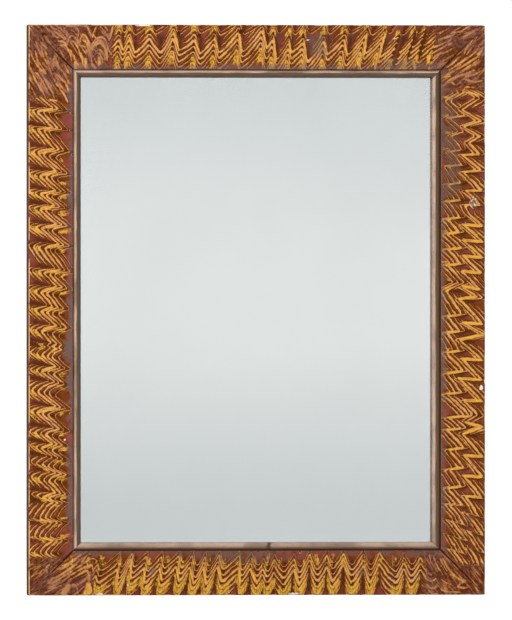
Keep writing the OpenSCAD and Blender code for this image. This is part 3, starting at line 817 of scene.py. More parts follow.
def stroke_distance(side, along, across):
    """Distance outside the nearest loose stroke, in millimetres"""
    nearest = np.full_like(along, FAR)
    for half_width, points in LOOSE_STROKES[side]:
        path = curve_through(points)
        low, high = path.min(axis=0) - 6, path.max(axis=0) + 6
        close = (along > low[0]) & (along < high[0]) & (across > low[1]) & (across < high[1])
        here = np.stack([along[close], across[close]], axis=-1)
        best = np.full(len(here), FAR)
        for number, (first, last) in enumerate(zip(path[:-1], path[1:])):
            step = last - first
            share = np.clip((here - first) @ step / max(step @ step, 1e-6), 0, 1)
            distance = np.linalg.norm(here - first - share[:, None] * step, axis=-1)
            middle = (number + 0.5) / (len(path) - 1)
            taper = half_width * (0.5 + 0.8 * math.sqrt(middle * (1 - middle)))
            best = np.minimum(best, distance - taper)
        nearest[close] = np.minimum(nearest[close], best)
    return nearest


def end_drag(side, along, across):
    """Distance along and across the way that the brush went at the nearer end of a board"""
    slope = np.where(along < side_length(side) / 2, *END_DRAG[side])
    turn = np.arctan(slope)
    return along * np.cos(turn) + across * np.sin(turn), across * np.cos(turn) - along * np.sin(turn)


def smear_marks(side, along, across, rng):
    """How clean a board's golden smears were wiped, from 0 to 1; one that starts at the edge is full there"""
    low, high, half, clean, places = SMEARS[side]
    total = np.zeros_like(along)
    wander = slow_noise(along, across, 5.0, 0.8, rng)
    for place in places:
        wide = half * rng.uniform(0.6, 1.15)
        stop = high - rng.uniform(0, 7)
        tilt = rng.uniform(-0.15, 0.25)
        away = (along - place + (across - low) * tilt + wander) / wide
        inside = np.clip((across - low) / 6 + (low == 0), 0, 1) * np.clip((stop - across) / 9, 0, 1)
        total = np.maximum(total, clean * rng.uniform(0.75, 1.1) * inside * np.clip(1.3 - away ** 2, 0, 1))
    return total


def mitre_dirt(side, along, across):
    """Dirt worked into the boards beside their mitres, from 0 to 1"""
    total = np.zeros_like(along)
    ends = (along - across, side_length(side) - along - across)
    clear = np.clip(across / 10, 0, 1), np.clip((44 - across) / 14, 0, 1)
    for (broad, strong), from_end in zip(MITRE_DIRT[side], ends):
        near = np.clip(1.2 - (from_end / math.sqrt(2) / broad) ** 2, 0, 1)
        total = np.maximum(total, strong * near * clear[0] * clear[1])
    return total


def slow_noise(along, across, length, height, rng):
    """Smooth hand-made unevenness, as a few crossed waves"""
    total = np.zeros_like(along)
    for _ in range(5):
        angle = rng.uniform(-0.9, 0.9)
        wave = length * rng.uniform(0.7, 1.6)
        phase = rng.uniform(0, 2 * math.pi)
        total += np.sin((along * math.cos(angle) + across * math.sin(angle)) / wave * 2 + phase)
    return total * height / 3


def following_stroke(corners):
    """Corners of a second pass that turns just after each crest of the first one, no two quite alike"""
    path = np.array(corners, float)
    crests = [i for i in range(1, len(path) - 1) if path[i, 1] < min(path[i - 1, 1], path[i + 1, 1])]
    outermost, innermost = OVER_TURNS
    second = []
    for number, crest in enumerate(crests):
        out_at, in_at = path[crest, 0] + OVER_SHIFTS[0], path[crest, 0] + OVER_SHIFTS[1]
        second += [(out_at, outermost + number % 3), (in_at, innermost - number % 2)]
    return second


def board_outline(settings):
    """A board's section from the bead round the front, the outer edge and the back, as across and depth"""
    arris = settings.arris / MM
    face = list(np.linspace(RAIL_W, arris, round((RAIL_W - arris) / (settings.step_across / MM)) + 1))
    points = [(across, 0.0) for across in face]
    turn = [math.pi / 2 * step / ARRIS_POINTS for step in range(1, ARRIS_POINTS + 1)]
    points += [(arris - arris * math.sin(a), arris - arris * math.cos(a)) for a in turn]
    edge = list(np.linspace(arris, STOCK_T - arris, EDGE_POINTS))[1:]
    points += [(0.0, depth) for depth in edge]
    points += [(arris - arris * math.cos(a), STOCK_T - arris + arris * math.sin(a)) for a in turn]
    points += [(across, STOCK_T) for across in np.linspace(arris, RAIL_W, BACK_POINTS)[1:]]
    points += [(RAIL_W, depth) for depth in np.linspace(STOCK_T, 0, EDGE_POINTS)[1:-1]]
    return points


def swept_mesh(name, side, outline, start, end, step, shape):
    """A strip of the given section as a closed mesh, with its worn shape; start and end cut its mitres"""
    across = np.array([point[0] for point in outline])
    depth = np.array([point[1] for point in outline])
    columns = round(side_length(side) / step) + 1
    share = np.linspace(0, 1, columns)[:, None]
    first, last = start(across)[None, :], end(across)[None, :]
    along = first + (last - first) * share
    across = np.broadcast_to(across, along.shape).copy()
    depth = np.broadcast_to(depth, along.shape).copy()
    along, across, depth = shape(along, across, depth)
    points = to_frame(side, along, across, depth).reshape(-1, 3)
    count = len(outline)
    ring = np.arange(count)
    after = (ring + 1) % count
    base = (np.arange(columns - 1) * count)[:, None]
    quads = np.stack([base + ring, base + after, base + count + after, base + count + ring], axis=-1)
    quads = quads.reshape(-1, 4)
    caps = [ring[::-1], ring + (columns - 1) * count]
    if side in ("bottom", "left"):
        quads = quads[:, ::-1]
        caps = [cap[::-1] for cap in caps]
    mesh = bpy.data.meshes.new(name)
    faces = [tuple(face) for face in quads.tolist()] + [tuple(cap.tolist()) for cap in caps]
    mesh.from_pydata(points.tolist(), [], faces)
    mesh.validate()
    mesh.shade_smooth()
    return mesh, along.ravel(), across.ravel(), depth.ravel()


def add_values(mesh, **values):
    """Stores a number per point, or one number for them all, for the material to read"""
    for name, numbers in values.items():
        layer = mesh.attributes.new(name, "FLOAT", "POINT")
        layer.data.foreach_set("value", np.full(len(mesh.vertices), numbers, np.float32))


def stored(mesh, name):
    """The numbers that a mesh stores under one name"""
    numbers = np.zeros(len(mesh.vertices), np.float32)
    mesh.attributes[name].data.foreach_get("value", numbers)
    return numbers


def hold(mesh, name, body, node, slot, *materials):
    """Makes the object, gives it its materials and fixes it to its body in place of its node"""
    piece = bpy.data.objects.new(name, mesh)
    bpy.context.scene.collection.objects.link(piece)
    for material in materials:
        mesh.materials.append(material)
    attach(piece, body)
    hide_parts(node)


def combed_lines(wire, band, half_width, along):
    """Where one comb's teeth laid the ground bare, and where they pushed the glaze up"""
    wobble = wire.spread(wire.noise(wire.place, 75.0, 3.0, 0.6), -0.13, 0.13)
    number = wire.plus(wire.attribute("comb_" + band), wobble)
    reach = wire.attribute("reach_" + band)
    bite = wire.attribute("bite_" + band)
    tooth = wire.math("ROUND", number)
    side = wire.times(wire.minus(number, tooth), reach)
    trail = wire.times(along, 0.11)
    uneven = wire.noise(wire.combine(wire.times(tooth, 7.3), trail), 1.0, 3.0, 0.6)
    slow = wire.noise(wire.combine(wire.times(tooth, 3.1), wire.times(along, 0.06)), 1.0)
    wide = wire.times(bite, wire.smooth(uneven, 0.25, 0.75, half_width * 0.6, half_width * 1.35))
    wide = wire.times(wide, wire.smooth(slow, 0.32, 0.56, 0.45, 1.1))
    merged = wire.times(wire.smooth(reach, 1.2, 3.0, 0.14, 0.0), wire.attribute("merge"))
    wide = wire.least(wide, wire.times(reach, wire.plus(merged, 0.36)))
    ragged = wire.spread(wire.noise(wire.place, 650.0, 3.0, 0.6), -0.3, 0.3)
    past = wire.minus(wire.plus(wire.math("ABSOLUTE", side), ragged), wide)
    seen = wire.smooth(bite, 0.02, 0.3)
    past = wire.plus(past, wire.times(wire.minus(1.0, seen), 3.0))
    lee = wire.smooth(side, -0.3, 0.3, 1.0, 0.5)
    between = wire.minus(number, 0.46)
    beside = wire.minus(between, wire.math("ROUND", between))
    beside = wire.plus(wire.math("ABSOLUTE", wire.times(beside, reach)), ragged)
    thin = wire.smooth(beside, 0.25, 0.95, 1.0, 0.0)
    thin = wire.times(thin, wire.smooth(uneven, 0.35, 0.6))
    thin = wire.times(thin, wire.smooth(reach, 2.2, 3.6))
    thin = wire.times(thin, seen)
    streak = wire.noise(wire.combine(wire.times(number, 8.0), trail), 1.0, 3.0, 0.6)
    return past, lee, streak, thin


def uncovered(wire, look, fray):
    """How far outside the nearest bare line, bar or stroke each place lies, and what the combs left there"""
    along = wire.attribute("along")
    half_width = look.line_width / MM / 2
    main = combed_lines(wire, "main", half_width, along)
    edge = combed_lines(wire, "edge", half_width, along)
    shown = wire.smooth(wire.attribute("cover_edge"), 0.35, 0.75)
    past, lee, streak, thin = (wire.average(shown, first, second) for first, second in zip(main, edge))
    bar = wire.plus(wire.attribute("bar"), fray)
    uneven = wire.spread(wire.noise(wire.place, 140.0, 2.0, 0.5), -0.6, 0.5)
    loose = wire.plus(wire.plus(wire.attribute("loose"), fray), uneven)
    drag = wire.combine(wire.times(wire.attribute("drag_along"), 0.045),
                        wire.times(wire.attribute("drag_across"), 0.26))
    dragged = wire.noise(drag, 1.0, 3.0, 0.55, 0.25)
    faint = wire.times(wire.minus(0.60, dragged), 7.0)
    faint = wire.plus(faint, wire.times(wire.minus(1.0, wire.attribute("free")), 6.0))
    past = wire.least(wire.least(past, bar), loose)
    past = wire.least(past, wire.plus(faint, fray))
    return {"past": past, "bar": bar, "loose": loose, "dragged": dragged,
            "lee": lee, "streak": streak, "thin": thin}


def glaze_colour(wire, look, marks, patchy, mottled):
    """Red-brown glaze: thick and thin, streaked, untouched beyond the inner turns and hazy at the ends"""
    free = wire.attribute("free")
    streak = marks["streak"]
    glaze = wire.blend(wire.smooth(patchy, 0.36, 0.56), look.glaze[:], look.dark_glaze[:])
    glow = wire.times(wire.smooth(streak, 0.50, 0.66), wire.smooth(mottled, 0.38, 0.58))
    glaze = wire.blend(wire.times(glow, 0.45), glaze, look.thin_glaze[:])
    glaze = wire.blend(wire.smooth(streak, 0.34, 0.48, 0.5, 0.0), glaze, look.ridge[:])
    plain = wire.times(wire.attribute("lifted"), wire.smooth(mottled, 0.3, 0.6, 0.5, 1.0))
    untouched = wire.blend(wire.smooth(patchy, 0.40, 0.58), look.plain_glaze[:], look.purple_glaze[:])
    glaze = wire.blend(plain, glaze, untouched)
    glaze = wire.blend(wire.smooth(marks["past"], 0.5, 1.7, 0.75, 0.0), glaze, look.warm_glaze[:])
    glaze = wire.blend(wire.times(marks["thin"], 0.6), glaze, look.thin_glaze[:])
    haze = wire.times(free, wire.smooth(marks["dragged"], 0.44, 0.58))
    haze = wire.times(haze, wire.smooth(patchy, 0.40, 0.55, 0.3, 0.9))
    hazy = wire.blend(0.65, look.thin_glaze[:], look.dull_ochre[:])
    glaze = wire.blend(haze, glaze, hazy)
    murky = wire.times(free, wire.smooth(wire.noise(wire.place, 70.0, 3.0, 0.6), 0.54, 0.64))
    return wire.blend(wire.times(murky, 0.75), glaze, look.purple_glaze[:])


def ground_colour(wire, look, marks, mottled, gold):
    """Ochre laid bare: pale or tan in stretches, dull at the ends, golden in the broad bars and daubs"""
    ochre = wire.blend(wire.smooth(marks["streak"], 0.34, 0.56), look.ochre[:], look.pale_ochre[:])
    tan = wire.smooth(wire.noise(wire.place, 17.0, 3.0, 0.6), 0.48, 0.62, 0.0, 0.6)
    ochre = wire.blend(tan, ochre, look.tan[:])
    ochre = wire.blend(wire.times(wire.attribute("free"), 0.35), ochre, look.dull_ochre[:])
    ochre = wire.blend(wire.smooth(mottled, 0.50, 0.70, 0.0, 0.5), ochre, look.thin_glaze[:])
    ochre = wire.blend(wire.smooth(marks["bar"], -1.0, 0.2, 1.0, 0.0), ochre, gold)
    middle = wire.smooth(marks["past"], -0.65, 0.0, 1.0, 0.0)
    ochre = wire.blend(middle, look.thin_glaze[:], ochre)
    daub = wire.smooth(marks["loose"], -1.5, -0.9, 0.9, 0.0)
    return wire.blend(daub, ochre, gold)


def wiped_clean(wire, pulls):
    """Where the glaze was wiped away, torn along the pull of the comb, from 0 to 1"""
    wiped = wire.attribute("wiped")
    torn = wire.noise(wire.place, 260.0, 3.0, 0.6)
    clean = wire.plus(wiped, wire.spread(pulls, -0.3, 0.15))
    clean = wire.plus(clean, wire.spread(torn, -0.4, 0.35))
    return wire.times(wire.smooth(clean, 0.2, 0.9), wire.smooth(wiped, 0.0, 0.3))


def worn_paint(wire, look, paint, fray, patchy, mottled):
    """Dark outer edges, rubbed arrises, dirt beside the beads, dust, stains and the cracks of the mitres"""
    across = wire.attribute("across")
    depth = wire.attribute("depth")
    paint = wire.blend(wire.smooth(depth, 0.8, 2.2), paint, look.edge_glaze[:])
    arris = wire.times(wire.smooth(across, 0.5, 1.5, 1.0, 0.0), wire.smooth(depth, 1.0, 2.2, 1.0, 0.0))
    worn = wire.times(arris, wire.attribute("rub"))
    worn = wire.plus(worn, wire.spread(wire.noise(wire.place, 60.0, 3.0, 0.6), -0.4, 0.4))
    paint = wire.blend(wire.times(wire.smooth(worn, 0.4, 0.6), 0.85), paint, look.rubbed[:])
    inward = wire.plus(across, wire.spread(mottled, -3.5, 3.5))
    grime = wire.times(wire.smooth(inward, 48.5, 54.0), wire.smooth(patchy, 0.36, 0.56, 0.25, 0.95))
    grime = wire.times(grime, wire.smooth(depth, 0.5, 1.5, 1.0, 0.0))
    paint = wire.blend(wire.times(grime, wire.attribute("grime")), paint, look.grime[:])
    scuff = wire.times(wire.attribute("scuff"), wire.smooth(mottled, 0.3, 0.55))
    paint = wire.blend(wire.times(scuff, 0.75), paint, look.dust[:])
    stain = wire.smooth(wire.plus(wire.attribute("stain"), fray), 0.3, 0.6)
    paint = wire.blend(stain, paint, look.ridge[:])
    white = wire.smooth(wire.plus(wire.attribute("white"), fray), 0.4, 0.7)
    paint = wire.blend(white, paint, look.bare_ground[:])
    crack = wire.smooth(wire.plus(wire.attribute("mitre"), fray), 0.6, 1.4, 1.0, 0.0)
    return wire.blend(wire.times(crack, wire.attribute("open")), paint, look.ridge[:])


def grain_paint(look):
    """Ochre ground under a red-brown glaze, combed in two passes, with wear and dirt"""
    wire = Wiring("grain_paint")
    free = wire.attribute("free")
    fray = wire.spread(wire.noise(wire.place, 500.0, 2.0, 0.6), -0.35, 0.35)
    patchy = wire.noise(wire.place, 28.0, 3.0, 0.55)
    mottled = wire.noise(wire.place, 130.0, 3.0, 0.6)
    pull = wire.combine(wire.times(wire.attribute("along"), 0.85), wire.times(wire.attribute("across"), 0.07))
    pulls = wire.noise(pull, 1.0, 3.0, 0.6)
    gold = wire.blend(wire.smooth(pulls, 0.36, 0.56), look.ochre[:], look.gold[:])
    marks = uncovered(wire, look, fray)
    glaze = glaze_colour(wire, look, marks, patchy, mottled)
    ground = ground_colour(wire, look, marks, mottled, gold)
    line = wire.smooth(marks["past"], -0.1, 0.55, 1.0, 0.0)
    paint = wire.blend(line, glaze, ground)
    wash = wire.smooth(wire.noise(wire.place, 38.0, 3.0, 0.55), 0.44, 0.60, 0.0, 0.5)
    paint = wire.blend(wire.times(wash, free), paint, look.mauve[:])
    clean = wiped_clean(wire, pulls)
    paint = wire.blend(wire.times(clean, 0.92), paint, gold)

    bank = wire.times(wire.smooth(marks["past"], 0.2, 0.7), wire.smooth(marks["past"], 1.0, 2.2, 1.0, 0.0))
    ridge = wire.times(wire.times(bank, marks["lee"]), wire.minus(1.0, wire.times(clean, 0.35)))
    sunken = wire.times(wire.attribute("pool"), wire.smooth(mottled, 0.28, 0.45))
    sunken = wire.times(sunken, wire.minus(1.0, clean))
    gathered = wire.times(wire.most(ridge, sunken), wire.minus(1.0, wire.times(free, 0.1)))
    dark = wire.times(gathered, wire.minus(1.0, line))
    paint = wire.blend(wire.times(dark, 0.92), paint, look.ridge[:])

    paint = worn_paint(wire, look, paint, fray, patchy, mottled)
    chip = wire.smooth(wire.plus(wire.attribute("chip"), fray), 0.35, 0.5)
    paint = wire.blend(chip, paint, look.bare_wood[:])
    rough = wire.spread(wire.noise(wire.place, 220.0, 3.0, 0.6), 0.28, 0.46)
    rough = wire.plus(rough, wire.times(chip, 0.4))
    rough = wire.plus(rough, wire.times(wire.smooth(wire.attribute("depth"), 0.8, 2.2), 0.35))
    wire.set(Base_Color=paint, IOR=1.48, Specular_IOR_Level=0.04, Roughness=rough)
    height = wire.plus(wire.times(ridge, 0.9), wire.times(line, -0.45))
    height = wire.plus(height, wire.times(marks["streak"], 0.55))
    height = wire.plus(height, wire.times(mottled, 0.3))
    wire.bump(height, 0.35 * MM, 0.8)
    return wire.material


def old_pine(look, name, run_axis, shade=1.0, board=None):
    """Bare pine with its grain along one axis, dark with age and along the board's joints"""
    wire = Wiring(name)
    scale = [16.0, 16.0, 16.0]
    scale[run_axis] = 0.55
    knot_scale = [11.0, 3.0, 11.0]
    knot_scale[run_axis] = 4.5
    from_knot = wire.cells(wire.stretch(wire.place, knot_scale), 1.0)
    grain = wire.noise(wire.stretch(wire.place, scale), 2.6, 3.0, 0.5, 0.5)
    grain = wire.plus(grain, wire.smooth(from_knot, 0.0, 0.32, 0.35, 0.0))
    fine_scale = [800.0, 800.0, 800.0]
    fine_scale[run_axis] = 7.0
    fine = wire.noise(wire.stretch(wire.place, fine_scale), 1.0, 3.0, 0.6)
    ring = wire.math("FRACT", wire.times(grain, 13.0))
    dark = wire.times(wire.smooth(ring, 0.45, 0.95), wire.smooth(fine, 0.2, 0.7, 0.45, 1.0))
    wood = wire.blend(wire.times(dark, 0.75), look.pine[:], look.late_wood[:])
    knot = wire.smooth(from_knot, 0.04, 0.075, 1.0, 0.0)
    wood = wire.blend(wire.times(knot, 0.8), wood, look.late_wood[:])
    soot = wire.noise(wire.place, 9.0, 4.0, 0.6)
    wood = wire.blend(wire.smooth(soot, 0.45, 0.75, 0.0, 0.5), wood, look.late_wood[:])
    wood = wire.blend(1.0, wood, (shade, shade, shade), "MULTIPLY")
    if board:
        low, high = (corner.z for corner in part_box(board))
        from_middle = wire.math("ABSOLUTE", wire.minus(wire.height(), (low + high) / 2))
        rough_edge = wire.plus(from_middle, wire.spread(fine, -1.5 * MM, 1.5 * MM))
        joint = wire.smooth(rough_edge, (high - low) / 2 - 5 * MM, (high - low) / 2, 0.0, 0.75)
        wood = wire.blend(joint, wood, look.joint_dirt[:])
    wire.set(Base_Color=wood, Roughness=wire.spread(fine, 0.62, 0.85))
    height = wire.plus(wire.times(fine, 0.7), wire.times(ring, 0.5))
    wire.bump(height, 0.25 * MM, 0.7)
    return wire.material


def nail_iron(look):
    """Dark oxidised iron with rust in its pits"""
    wire = Wiring("nail_iron")
    pits = wire.noise(wire.place, 900.0, 4.0, 0.65)
    colour = wire.blend(wire.smooth(pits, 0.5, 0.7), look.iron[:], look.rust[:])
    wire.set(Base_Color=colour, Metallic=0.55, Roughness=wire.spread(pits, 0.5, 0.8))
    wire.bump(pits, 0.2 * MM, 0.8)
    return wire.material


def old_brass(look, name, polish):
    """Tarnished brass, brighter where it is handled"""
    wire = Wiring(name)
    tarnish = wire.noise(wire.place, 110.0, 5.0, 0.7)
    colour = wire.blend(wire.smooth(tarnish, 0.32, 0.72, 0.15, 0.8), look.brass[:], look.tarnish[:])
    wire.set(Base_Color=colour, Metallic=1.0, Roughness=wire.spread(tarnish, 0.28 - polish, 0.55))
    scratches = wire.noise(wire.stretch(wire.place, (1500.0, 1500.0, 160.0)), 1.0, 2.0, 0.5)
    wire.bump(scratches, 0.05 * MM, 0.5)
    return wire.material


def worn_gilt(look):
    """Dark bronzed round with a pale band along one side, partly rubbed, dusty gilt and partly painted
    highlight, painted shade with some dirt in its groove, on its wall and beside the glass, and grime in its
    nicks
    """
    wire = Wiring("worn_gilt")
    along = wire.attribute("along")
    across = wire.attribute("across")
    depth = wire.attribute("depth")
    run = wire.combine(wire.times(along, 0.02), wire.times(across, 0.8))
    streak = wire.noise(run, 1.0, 4.0, 0.65)
    patch = wire.noise(wire.place, 22.0, 3.0, 0.55)
    fine = wire.noise(wire.place, 420.0, 3.0, 0.6)
    # Pale band along the round: partly rubbed gilt, partly a painted highlight where the light from the upper
    # left falls
    away = wire.math("ABSOLUTE", wire.minus(across, wire.attribute("gleam")))
    away = wire.plus(away, wire.spread(streak, -0.9, 0.9))
    band = wire.smooth(wire.math("DIVIDE", away, wire.attribute("spread")), 0.27, 1.0, 1.0, 0.0)
    band = wire.times(band, wire.smooth(patch, 0.32, 0.6, 0.45, 1.0))
    band = wire.times(band, wire.attribute("gleam_strength"))
    colour = wire.blend(wire.smooth(streak, 0.4, 0.7, 0.0, 0.6), look.gilt[:], look.bronze[:])
    colour = wire.blend(band, colour, look.rubbed[:])
    # Painted shade, with some dirt in the groove: darker in the groove beside the board, on the wall that
    # drops to the glass and on the round beside the glass
    quirk = wire.smooth(across, RAIL_W + 1.0, RAIL_W + 2.2, 1.0, 0.0)
    quirk = wire.times(quirk, wire.attribute("groove_dirt"))
    near_glass = wire.times(wire.smooth(across, RAIL_W + 7.0, RAIL_W + 9.5), wire.attribute("glass_dirt"))
    wall = wire.times(wire.smooth(depth, 2.2, 4.6), wire.attribute("wall_dirt"))
    sunk = wire.most(wall, wire.most(quirk, near_glass))
    colour = wire.blend(wire.times(sunk, 0.85), colour, look.grime[:])
    spots = wire.times(wire.smooth(fine, 0.58, 0.72), 0.5)
    colour = wire.blend(spots, colour, look.grime[:])
    stain = wire.plus(wire.attribute("scuff"), wire.spread(fine, -0.25, 0.25))
    dirt = wire.smooth(stain, 0.3, 0.6)
    colour = wire.blend(dirt, colour, look.grime[:])
    wire.set(Base_Color=colour, Specular_IOR_Level=0.3, Roughness=wire.spread(fine, 0.3, 0.48))
    wire.bump(wire.plus(fine, wire.times(streak, 0.8)), 0.12 * MM, 0.7)
    return wire.material


def plate_glass(look):
    """Old plate glass with a faint ripple"""
    wire = Wiring("plate_glass")
    ripple = wire.noise(wire.stretch(wire.place, (3.0, 3.0, 1.2)), 1.6, 2.0, 0.5)
    haze = wire.noise(wire.place, 60.0, 3.0, 0.5)
    wire.set(Base_Color=look.glass[:], IOR=1.5, Transmission_Weight=1.0,
             Roughness=wire.smooth(haze, 0.35, 0.7, 0.0, 0.012))
    wire.bump(ripple, 0.05 * MM, 0.25)
    return wire.material


def silvering(look):
    """Old silvering, darker low down and high up as painted shade in its reflection, with faint clouds"""
    wire = Wiring("silvering")
    cloud = wire.noise(wire.place, 5.0, 3.0, 0.5)
    speckle = wire.noise(wire.place, 260.0, 3.0, 0.6)
    height = wire.height()
    # Painted shade in the reflection: darker towards the foot and towards the top of the plate
    low = wire.smooth(height, 0.03, 0.36, 1.0, 0.0)
    high = wire.smooth(height, 0.40, 0.70, 0.0, 0.65)
    shade_and_cloud = wire.plus(wire.most(low, high), wire.smooth(cloud, 0.4, 0.65, -0.04, 0.05))
    colour = wire.blend(wire.most(shade_and_cloud, 0.0), look.silver[:], look.shaded_and_clouded_silver[:])
    colour = wire.blend(wire.smooth(speckle, 0.72, 0.8, 0.0, 0.35), colour, look.specks[:])
    wire.set(Base_Color=colour, Metallic=1.0, Roughness=wire.spread(cloud, 0.04, 0.10))
    wire.bump(speckle, 0.002 * MM, 0.05)
    return wire.material


def pale_floor(look):
    """Plain pale floor, with a fine tooth"""
    wire = Wiring("pale_floor")
    tooth = wire.noise(wire.place, 120.0, 2.0, 0.5)
    wire.set(Base_Color=look.floor_colour[:], Roughness=wire.spread(tooth, 0.75, 0.9))
    wire.bump(tooth, 0.1 * MM, 0.1)
    return wire.material


def comb_passes(side):
    """The two comb passes on one board: the main one, and the one that went over or beside it"""
    if side == "top":
        over = following_stroke(TOP_STROKE)
        return (CombPass(TOP_STROKE, TOP_TEETH, TOP_LEAN, turns=(2.4, 2.4), bends=(0.42, -0.1)),
                CombPass(over, TOP_EDGE_TEETH, TOP_LEAN, turns=(1.5, 3.0), bends=(0.3, -0.2)))
    if side == "bottom":
        return (CombPass(BOTTOM_STROKE, BOTTOM_TEETH, BOTTOM_LEAN, turns=(3.0, 1.4), bends=(-0.45, 0.12)),
                CombPass(BOTTOM_STROKE, BESIDE_BEAD, LEVEL, turns=(2.0, 2.0), bends=(0, 0)))
    if side == "left":
        return (CombPass(LEFT_STROKE, LEFT_TEETH, LEFT_LEAN, turns=(2.6, 1.2), bends=(-0.7, 0.0)),
                CombPass(LEFT_STROKE, BESIDE_BEAD, LEVEL, turns=(2.0, 2.0), bends=(0, 0)))
    return (CombPass(RIGHT_STROKE, RIGHT_TEETH, RIGHT_LEAN, turns=(1.0, 3.4), bends=(-0.2, 0.0)),
            CombPass(RIGHT_EDGE_STROKE, RIGHT_EDGE_TEETH, RIGHT_EDGE_LEAN, turns=(1.5, 1.8),
                     bends=(-0.25, 0.0)))


def chip_marks(side, along, across, depth):
    """How much of the paint is gone at each place, from 0 to 1, and how deep the bite is"""
    gone = np.zeros_like(along)
    bite = np.zeros_like(along)
    for board, place, half, deep in CHIPS:
        if board != side:
            continue
        away = np.abs(along - place) / half
        near = np.clip(1 - away ** 2, 0, 1)
        gone = np.maximum(gone, near * np.clip(1 - (across + depth) / (2.2 * deep), 0, 1))
        bite = np.maximum(bite, near * deep * np.clip(1 - (across + depth) / 4, 0, 1))
    return gone, bite


def round_corners(along, across, length, radius):
    """Draws points beyond a board's rounded outer corners in to the round"""
    for end, inward in ((0, 1), (length, -1)):
        from_end = (along - end) * inward
        near = (from_end < radius) & (across < radius)
        gap = np.hypot(radius - from_end, radius - across)
        pull = np.where(near & (gap > radius), radius / np.maximum(gap, 1e-6), 1)
        from_end = np.where(near, radius - (radius - from_end) * pull, from_end)
        across = np.where(near, radius - (radius - across) * pull, across)
        along = np.where(near, end + from_end * inward, along)
    return along, across


def comb_values(side, along, across, mitre, rng):
    """What the two combs, the brush and the wiping left at each point of a board"""
    first, second = comb_passes(side)
    light_falls = LIGHT_FALLS.get(side, NEVER)
    main = first.marks(along, across, WIPED_PATCHES[side], light_falls, rng)
    edge = second.marks(along, across, [], light_falls, rng)
    main["bite"] = main["bite"] * share_along(FAINT_STRETCHES.get(side, ALWAYS), along)
    over = np.clip((edge["cover"] - 0.35) / 0.4, 0, 1)
    pool, lifted = (main[name] + (edge[name] - main[name]) * over for name in ("pool", "lifted"))
    bars = [comb.bar_distance(along, across, width, SLANT_SHARES[side], BAR_GROWTH[side])
            for comb, width in zip((first, second), BAR_WIDTHS[side])]
    begin, stop = COMB_REACH[side]
    calm = np.clip((along - begin) / 6, 0, 1) * np.clip((stop - along) / 6, 0, 1)
    calm = calm * np.clip((mitre - 1) / 6, 0, 1)
    drag_along, drag_across = end_drag(side, along, across)
    return {
        "comb_main": main["comb"], "reach_main": main["reach"], "bite_main": main["bite"] * calm,
        "comb_edge": edge["comb"], "reach_edge": edge["reach"], "bite_edge": edge["bite"] * calm,
        "cover_edge": edge["cover"], "pool": pool * calm, "lifted": lifted * LIFTED[side],
        "bar": np.minimum(*bars) + 6 * (1 - calm), "merge": MERGED_FALLS[side],
        "free": 1 - np.clip(calm * 1.5, 0, 1), "drag_along": drag_along, "drag_across": drag_across,
        "loose": stroke_distance(side, along, across) + 3 * np.clip(1.5 - mitre, 0, 1),
        "wiped": np.maximum(main["wiped"] * calm * (1 - over), smear_marks(side, along, across, rng)),
    }


def wear_values(side, along, across, depth):
    """Chips, dust, stains, dirt and rubbed edges at each point of a board"""
    gone, _ = chip_marks(side, along, across, depth)
    starts = np.interp(along, (0, side_length(side)), CRACK_STARTS[side])
    dust = worn_marks(side, "dust", along, across)
    return {
        "chip": gone, "scuff": np.maximum(dust, mitre_dirt(side, along, across)),
        "white": worn_marks(side, "white", along, across), "stain": worn_marks(side, "dark", along, across),
        "open": np.clip((across - starts) / 8, 0, 1), "rub": RUBBED_ARRIS[side], "grime": BEAD_GRIME[side],
    }


def paint_board(side, node, settings, paint, wood):
    """One mitred board with its worn face, its two comb passes, its chips and its bare back"""
    rng = np.random.default_rng(SEED + len(node) + ord(side[0]))
    length = side_length(side)
    reach = 1 + settings.crack / MM / math.sqrt(2) / RAIL_W

    def shape(along, across, depth):
        _, bite = chip_marks(side, along, across, depth)
        # Only the face dips, and not beside the bead, which sits flat on it
        front = np.clip(1 - depth / 3, 0, 1)
        dips = slow_noise(along, across, DIP_SCALE, settings.waviness / MM, rng)
        dips = front * (np.abs(dips) * np.clip((RAIL_W - across) / 10, 0, 1))
        along, across = round_corners(along, across + bite * 0.6, length, settings.corner / MM)
        return along, across, depth + dips + bite * 0.5

    mesh, along, across, depth = swept_mesh(
        "painted_" + node, side, board_outline(settings),
        lambda a: a * reach, lambda a: length - a * reach, settings.step_along / MM, shape)
    mitre = np.minimum(along - across, length - along - across) / math.sqrt(2)
    add_values(mesh, along=along, across=across, depth=depth, mitre=mitre)
    add_values(mesh, **comb_values(side, along, across, mitre, rng))
    add_values(mesh, **wear_values(side, along, across, depth))
    hold(mesh, "painted_" + node, "frame", node, "grain_paint", paint, wood)
    mark_bare_faces(mesh)


def worn_marks(side, kind, along, across):
    """How strongly one kind of worn place shows on a board, from 0 to 1"""
    total = np.zeros_like(along)
    for what, middle, inward, half_along, half_across, strength in WORN_PLACES[side]:
        away = ((along - middle) / half_along) ** 2 + ((across - inward) / half_across) ** 2
        if what == kind:
            total = np.maximum(total, strength * np.clip(1.3 - away, 0, 1))
    return total


def mark_bare_faces(mesh):
    """The back and the pocket's wall are bare wood; the mitre faces are dark, as glaze ran into them"""
    across = stored(mesh, "across")
    depth = stored(mesh, "depth")
    for face in mesh.polygons:
        corners = list(face.vertices)
        behind = min(depth[corners]) > STOCK_T - 1.0
        inside = min(across[corners]) > RAIL_W - 0.01 and max(depth[corners]) > 0.6
        mitre_face = len(corners) > 4
        if (behind or inside) and not mitre_face:
            face.material_index = 1


